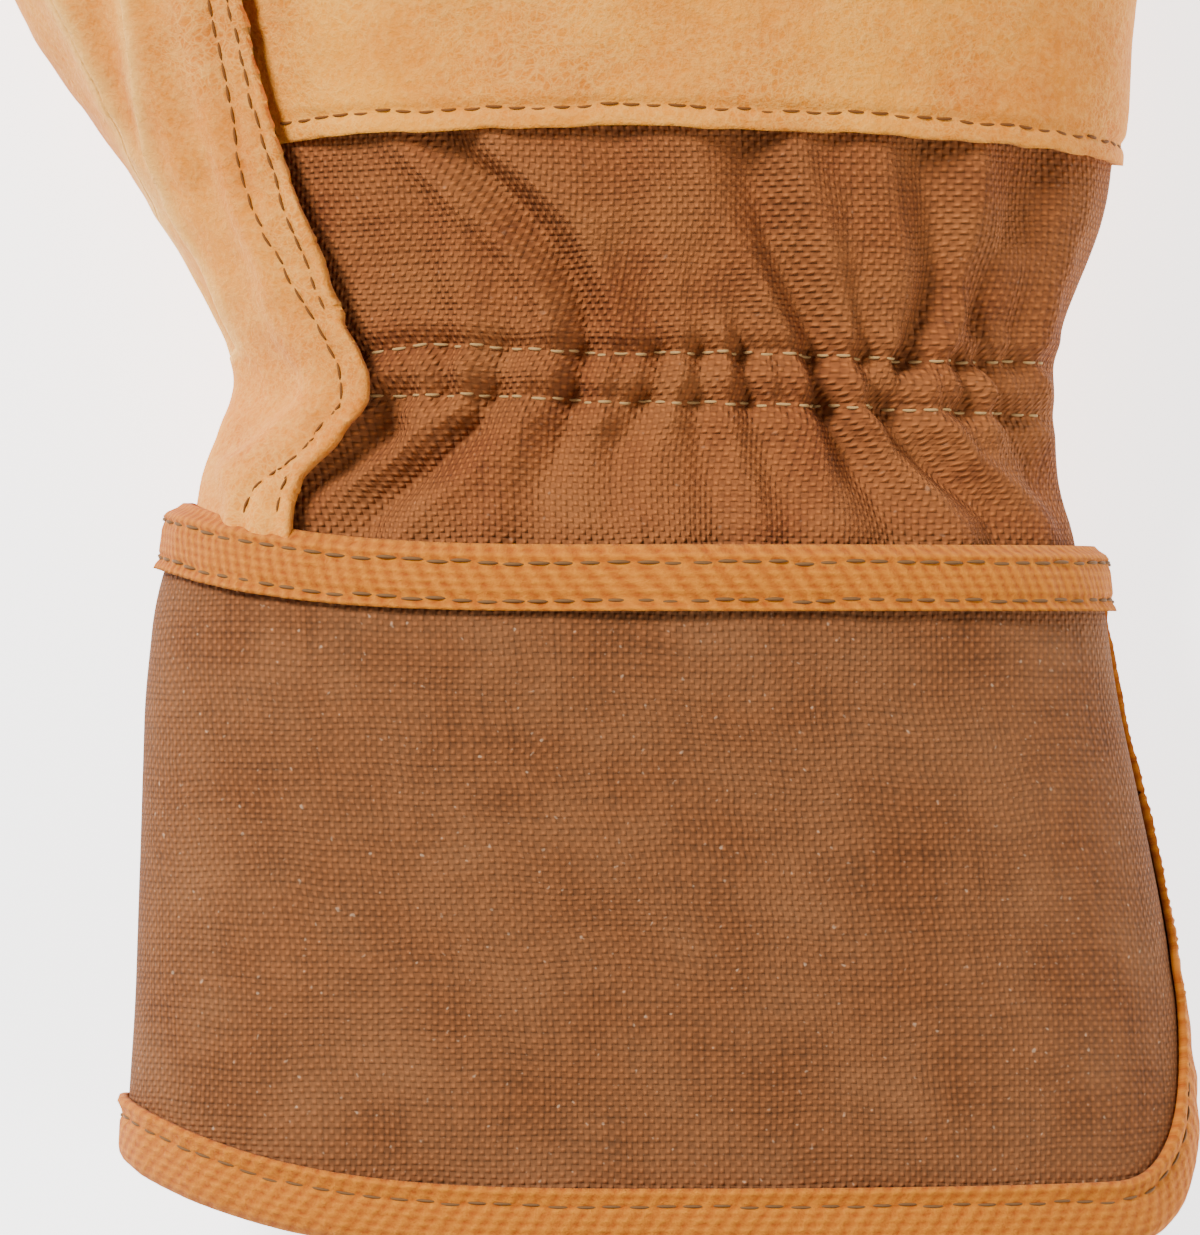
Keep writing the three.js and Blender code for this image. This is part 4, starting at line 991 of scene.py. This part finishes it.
# Fingers: a leather front and a canvas back each, joined by side seams that are sewn on the inside, with a
# patch of the same hide sewn over the back's end.
# x at the base line and sideways lean of the borders between the fingers
neighbours = list(zip(list(fingers.values())[:-1], list(fingers.values())[1:]))
borders = [-90.0, *[(a[0] + b[0]) / 2 for a, b in neighbours], 90.0]
leans = [0.0, *[(a[1] / a[2] + b[1] / b[2]) / 2 for a, b in neighbours], 0.0]
patch_length, patch_lift = 25.0, 1.25
above_side = p[:, 2] - side_z
for i, (name, (x0, lean, length, width)) in enumerate(fingers.items()):
    lane_left = p[:, 0] - borders[i] - leans[i] * (p[:, 1] - base_y)
    lane_right = borders[i + 1] + leans[i + 1] * (p[:, 1] - base_y) - p[:, 0]
    lane = np.minimum.reduce([lane_left - 0.15, lane_right - 0.15, p[:, 1] - base_y - 0.2, thumb_away + 0.2])
    over_side = np.minimum(lane, above_side - 0.1)
    on_patch = np.minimum(over_side, p[:, 1] - base_y - length + patch_length)
    # where each panel lies, how far it stands off the skin, its material and slot, and its wall
    parts = {
        "front": (np.minimum(lane, -above_side - 0.1), 0.0, hide, "leather", 1.5),
        "back": (over_side, -0.35, duck, "canvas", 1.1),
        "tip": (on_patch, patch_lift, hide, "leather", 1.2),
    }
    for part, (keep, offset, material, slot, wall) in parts.items():
        data, faces = trim(skin_data, skin_faces, keep)
        q = data[:, :3]
        inside = np.abs(q[:, 2] - side_height(q))
        rise = offset + groove(inside) + groove(q[:, 1] - base_y)
        rise = rise + 0.25 * ripple(q[:, 0] / 5, q[:, 1] / 6 + q[:, 2] / 7, 31 + i)
        q = q + unit(data[:, 3:]) * rise[:, None]
        node = f"{name}_fingertip" if part == "tip" else f"{name}_finger_{part}"
        panel = make_piece(f"{name}_{part}_panel", q, faces, material, q[:, :2], turn_out=False)
        thicken(panel, wall)
        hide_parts(node)
    x = np.linspace(-0.8, 0.8, 200) * width / 2
    y = np.full(200, base_y + length - patch_length + 1.8)
    path, up = skin_path(x + x0 + lean * (length - patch_length) / length, y)
    sew(f"{name}_tip_stitches", path + up * patch_lift, up, hide_thread, 2.2, 1.85, 0.14)

# Knuckle strap: a band of split cowhide with raw cut edges, sewn over the canvas across the knuckles by a row
# of stitches along each edge. Its left end is tucked under the wrapped leather.
strap_wall = 1.4
strap_seam = 2.1  # from each edge to its row of stitches
strap_wide = 54
# x and y of its lower edge
strap_low = np.array(
    [
        (-60, 110.5), (-37.8, 111.7), (-19.7, 112.4), (-5.2, 112.7), (20.2, 112.1), (32.8, 111.4),
        (41.2, 110.8), (52, 109.7),
    ]
)
strap_hide = split_cowhide("golden split cowhide", "#DC8A16", "#C0660A", "#EDB45A")


def strap_point(turn, share):
    """The strap's face between its lower edge (share 0) and its upper edge (share 1): the hand's section
    grown by the canvas and the strap, less where it is tucked in, with a groove at each row of stitches."""
    guess = form_point(hand_form, np.full_like(turn, 112.0), turn, 2)[..., 0]
    low = np.interp(guess, strap_low[:, 0], strap_low[:, 1]) + 0.16 * ripple(turn * 18, turn * 0, 41)
    high = 166.9 - 4.6 * ((guess + 6) / 46) ** 2 - 2.4 * np.clip(guess / 46, 0, 1)
    y = low + (high - low) * share
    x = form_point(hand_form, y, turn, 2)[..., 0]
    tuck = np.clip((x - wrap_x(y) - 0.3) / 5, 0, 1)
    sewn = np.minimum(np.abs(y - low - strap_seam), np.abs(high - y - strap_seam))
    wave = 0.5 * ripple(x / 9, y / 12, 42) + 0.16 * ripple(x / 2.7, y / 3.4, 43)
    return form_point(hand_form, y, turn, 1.95 + 1.15 * tuck + (wave - 0.45 * bell(sewn / 0.6)) * tuck)


turn = np.radians(np.linspace(-84, 88, 330))[:, None]
share = np.linspace(0, 1, 130)[None, :]
strap_points = strap_point(turn, share)
kept = strap_points[..., 0] > wrap_x(strap_points[..., 1]) - wrap_overlap
strap_faces = grid_faces(*kept.shape)
strap_faces = strap_faces[kept.ravel()[strap_faces].all(axis=1)]
used, strap_faces = np.unique(strap_faces, return_inverse=True)
strap_points, strap_faces = strap_points.reshape(-1, 3)[used], strap_faces.reshape(-1, 4)
strap = make_piece("knuckle_strap_leather", strap_points, strap_faces, strap_hide)
thicken(strap, strap_wall)
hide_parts("knuckle_strap")
seam_share = strap_seam / strap_wide
for name, share, start in (("lower", seam_share, -56), ("upper", 1 - seam_share, -80)):
    turn = np.radians(np.linspace(start, 87, 700))
    path = strap_point(turn, share)
    up = outward(path, strap_point(turn, share + 0.01))
    sew(f"strap_stitches_{name}", path, up, hide_thread, 2.3, 1.95, 0.16)

# Seam tape: a band of the same twill tape round the whole wrist, sewn over the cuff's top edge with two rows
# of stitches, so that it joins the cuff to the hand.
tape_width = 6.7
tape_radius = 44.0
tape_rows = {"upper": 0.73, "lower": 0.16}  # each row of stitches, as a share of the tape's width
outer_steps, inner_steps, round_steps = 16, 10, 621
tape_step = np.concatenate([np.linspace(0, 1, outer_steps), np.linspace(1, 0, inner_steps)])
tape_lift = np.concatenate([np.full(outer_steps, tape_wall), np.zeros(inner_steps)])


def tape_point(turn, share, lift):
    """The band from its lower edge on the cuff (share 0) to its top edge (share 1), where an eased mix turns
    it down to the hand."""
    seam = seam_y + 0.1 + seam_rise * thumb_side(turn)
    y = seam - tape_width * (1 - share)
    over = eased(np.clip((share - 0.8) / 0.2, 0, 1))
    cuff_side = form_point(cuff_form, y, turn, canvas_wall + 0.25 + lift)
    hand_side = form_point(hand_form, y, turn, leather_wall + 0.6 + lift)
    return cuff_side * (1 - over)[..., None] + hand_side * over[..., None]


turn = np.linspace(-np.pi, np.pi, round_steps)[:, None]
along = turn * tape_radius
rim = bell(tape_step / 0.1) + bell((1 - tape_step) / 0.1)
relief = twill_ribs(along, tape_width * tape_step, 0.6)
relief = relief + 0.12 * rim * (1 + 0.6 * np.sin(2 * np.pi * along / bead_pitch))
relief = relief - 0.3 * sum(bell((tape_step - row) / 0.07) for row in tape_rows.values())
relief = relief + 0.2 * ripple(along / 3.1, tape_step[None, :] * 1.5, 51)
tape_points = tape_point(turn, tape_step[None, :], tape_lift + np.where(tape_lift > 0, relief, 0))
tape_points[..., 2] = np.maximum(tape_points[..., 2], rest_height)
tape_faces = grid_faces(*tape_points.shape[:2], close_columns=True)
tape_cloth = flat_places(along, tape_width * tape_step[None, :])
tape = make_piece("twill_seam_tape", tape_points, tape_faces, orange_tape, tape_cloth)
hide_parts("cuff_seam_tape")
turn = np.linspace(0, 2 * np.pi, 1400)
for name, share in tape_rows.items():
    share = np.full_like(turn, share)
    path = tape_point(turn, share, tape_wall - 0.2)
    up = outward(path, tape_point(turn, share + 0.05, tape_wall - 0.2))
    sew(f"tape_stitches_{name}", path, up, tape_thread, 2.6, 2.2, 0.18)

# The stage: a white floor, soft studio light from the upper left, and a camera straight above at a long
# lens's distance, framed by the photograph's pixels.
floor = bpy.data.meshes.new("floor")
floor.from_pydata([(-3, -3, 0), (3, -3, 0), (3, 3, 0), (-3, 3, 0)], [], [(0, 1, 2, 3)])
floor_material = bpy.data.materials.new("white paper")
floor_material.use_nodes = True
paper = floor_material.node_tree.nodes["Principled BSDF"].inputs
paper["Base Color"].default_value = linear("#F7F7F6")
paper["Roughness"].default_value = 0.9
paper["Emission Color"].default_value = linear("#FFFFFF")
paper["Emission Strength"].default_value = 2.5
floor.materials.append(floor_material)
stage = [bpy.data.objects.new("floor", floor)]
middle = (home + (0, 100, 0)) / metre
# name, place beside the glove's middle, size and power of each light
lamps = [
    ("key_light", (-0.8, 0.75, 1.05), 0.45, 46.0),
    ("fill_light", (1.0, -0.5, 0.8), 0.8, 12.0),
]
for name, place, size, power in lamps:
    lamp = bpy.data.lights.new(name, "AREA")
    lamp.shape, lamp.size, lamp.energy = "DISK", size, power
    holder = bpy.data.objects.new(name, lamp)
    holder.location = middle + np.array(place)
    aim = np.array(place) / np.linalg.norm(place)
    holder.rotation_euler = (np.arccos(aim[2]), 0, np.arctan2(aim[1], aim[0]) + np.pi / 2)
    stage.append(holder)
world = bpy.data.worlds.new("studio")
world.use_nodes = True
air = world.node_tree.nodes["Background"].inputs
air["Color"].default_value = linear("#FFFFFF")
air["Strength"].default_value = 0.42
bpy.context.scene.world = world
pixels_per_mm = 9.7
photo_wide, photo_high = 1200, 1235
origin_pixel = (650, 1232)  # where x and y are 0
view_height = 25.0  # the height at which the scale holds
lens, sensor = 200.0, 36.0
view_x = (photo_wide / 2 - origin_pixel[0]) / pixels_per_mm
view_y = (origin_pixel[1] - photo_high / 2) / pixels_per_mm
distance = photo_high / pixels_per_mm * lens / sensor
camera = bpy.data.objects.new("camera", bpy.data.cameras.new("camera"))
camera.data.lens, camera.data.sensor_width = lens, sensor
camera.data.clip_start, camera.data.clip_end = 0.01, 20
camera.location = (home + (view_x, view_y, view_height + distance)) / metre
stage.append(camera)
for thing in stage:
    bpy.context.scene.collection.objects.link(thing)
bpy.context.scene.camera = camera
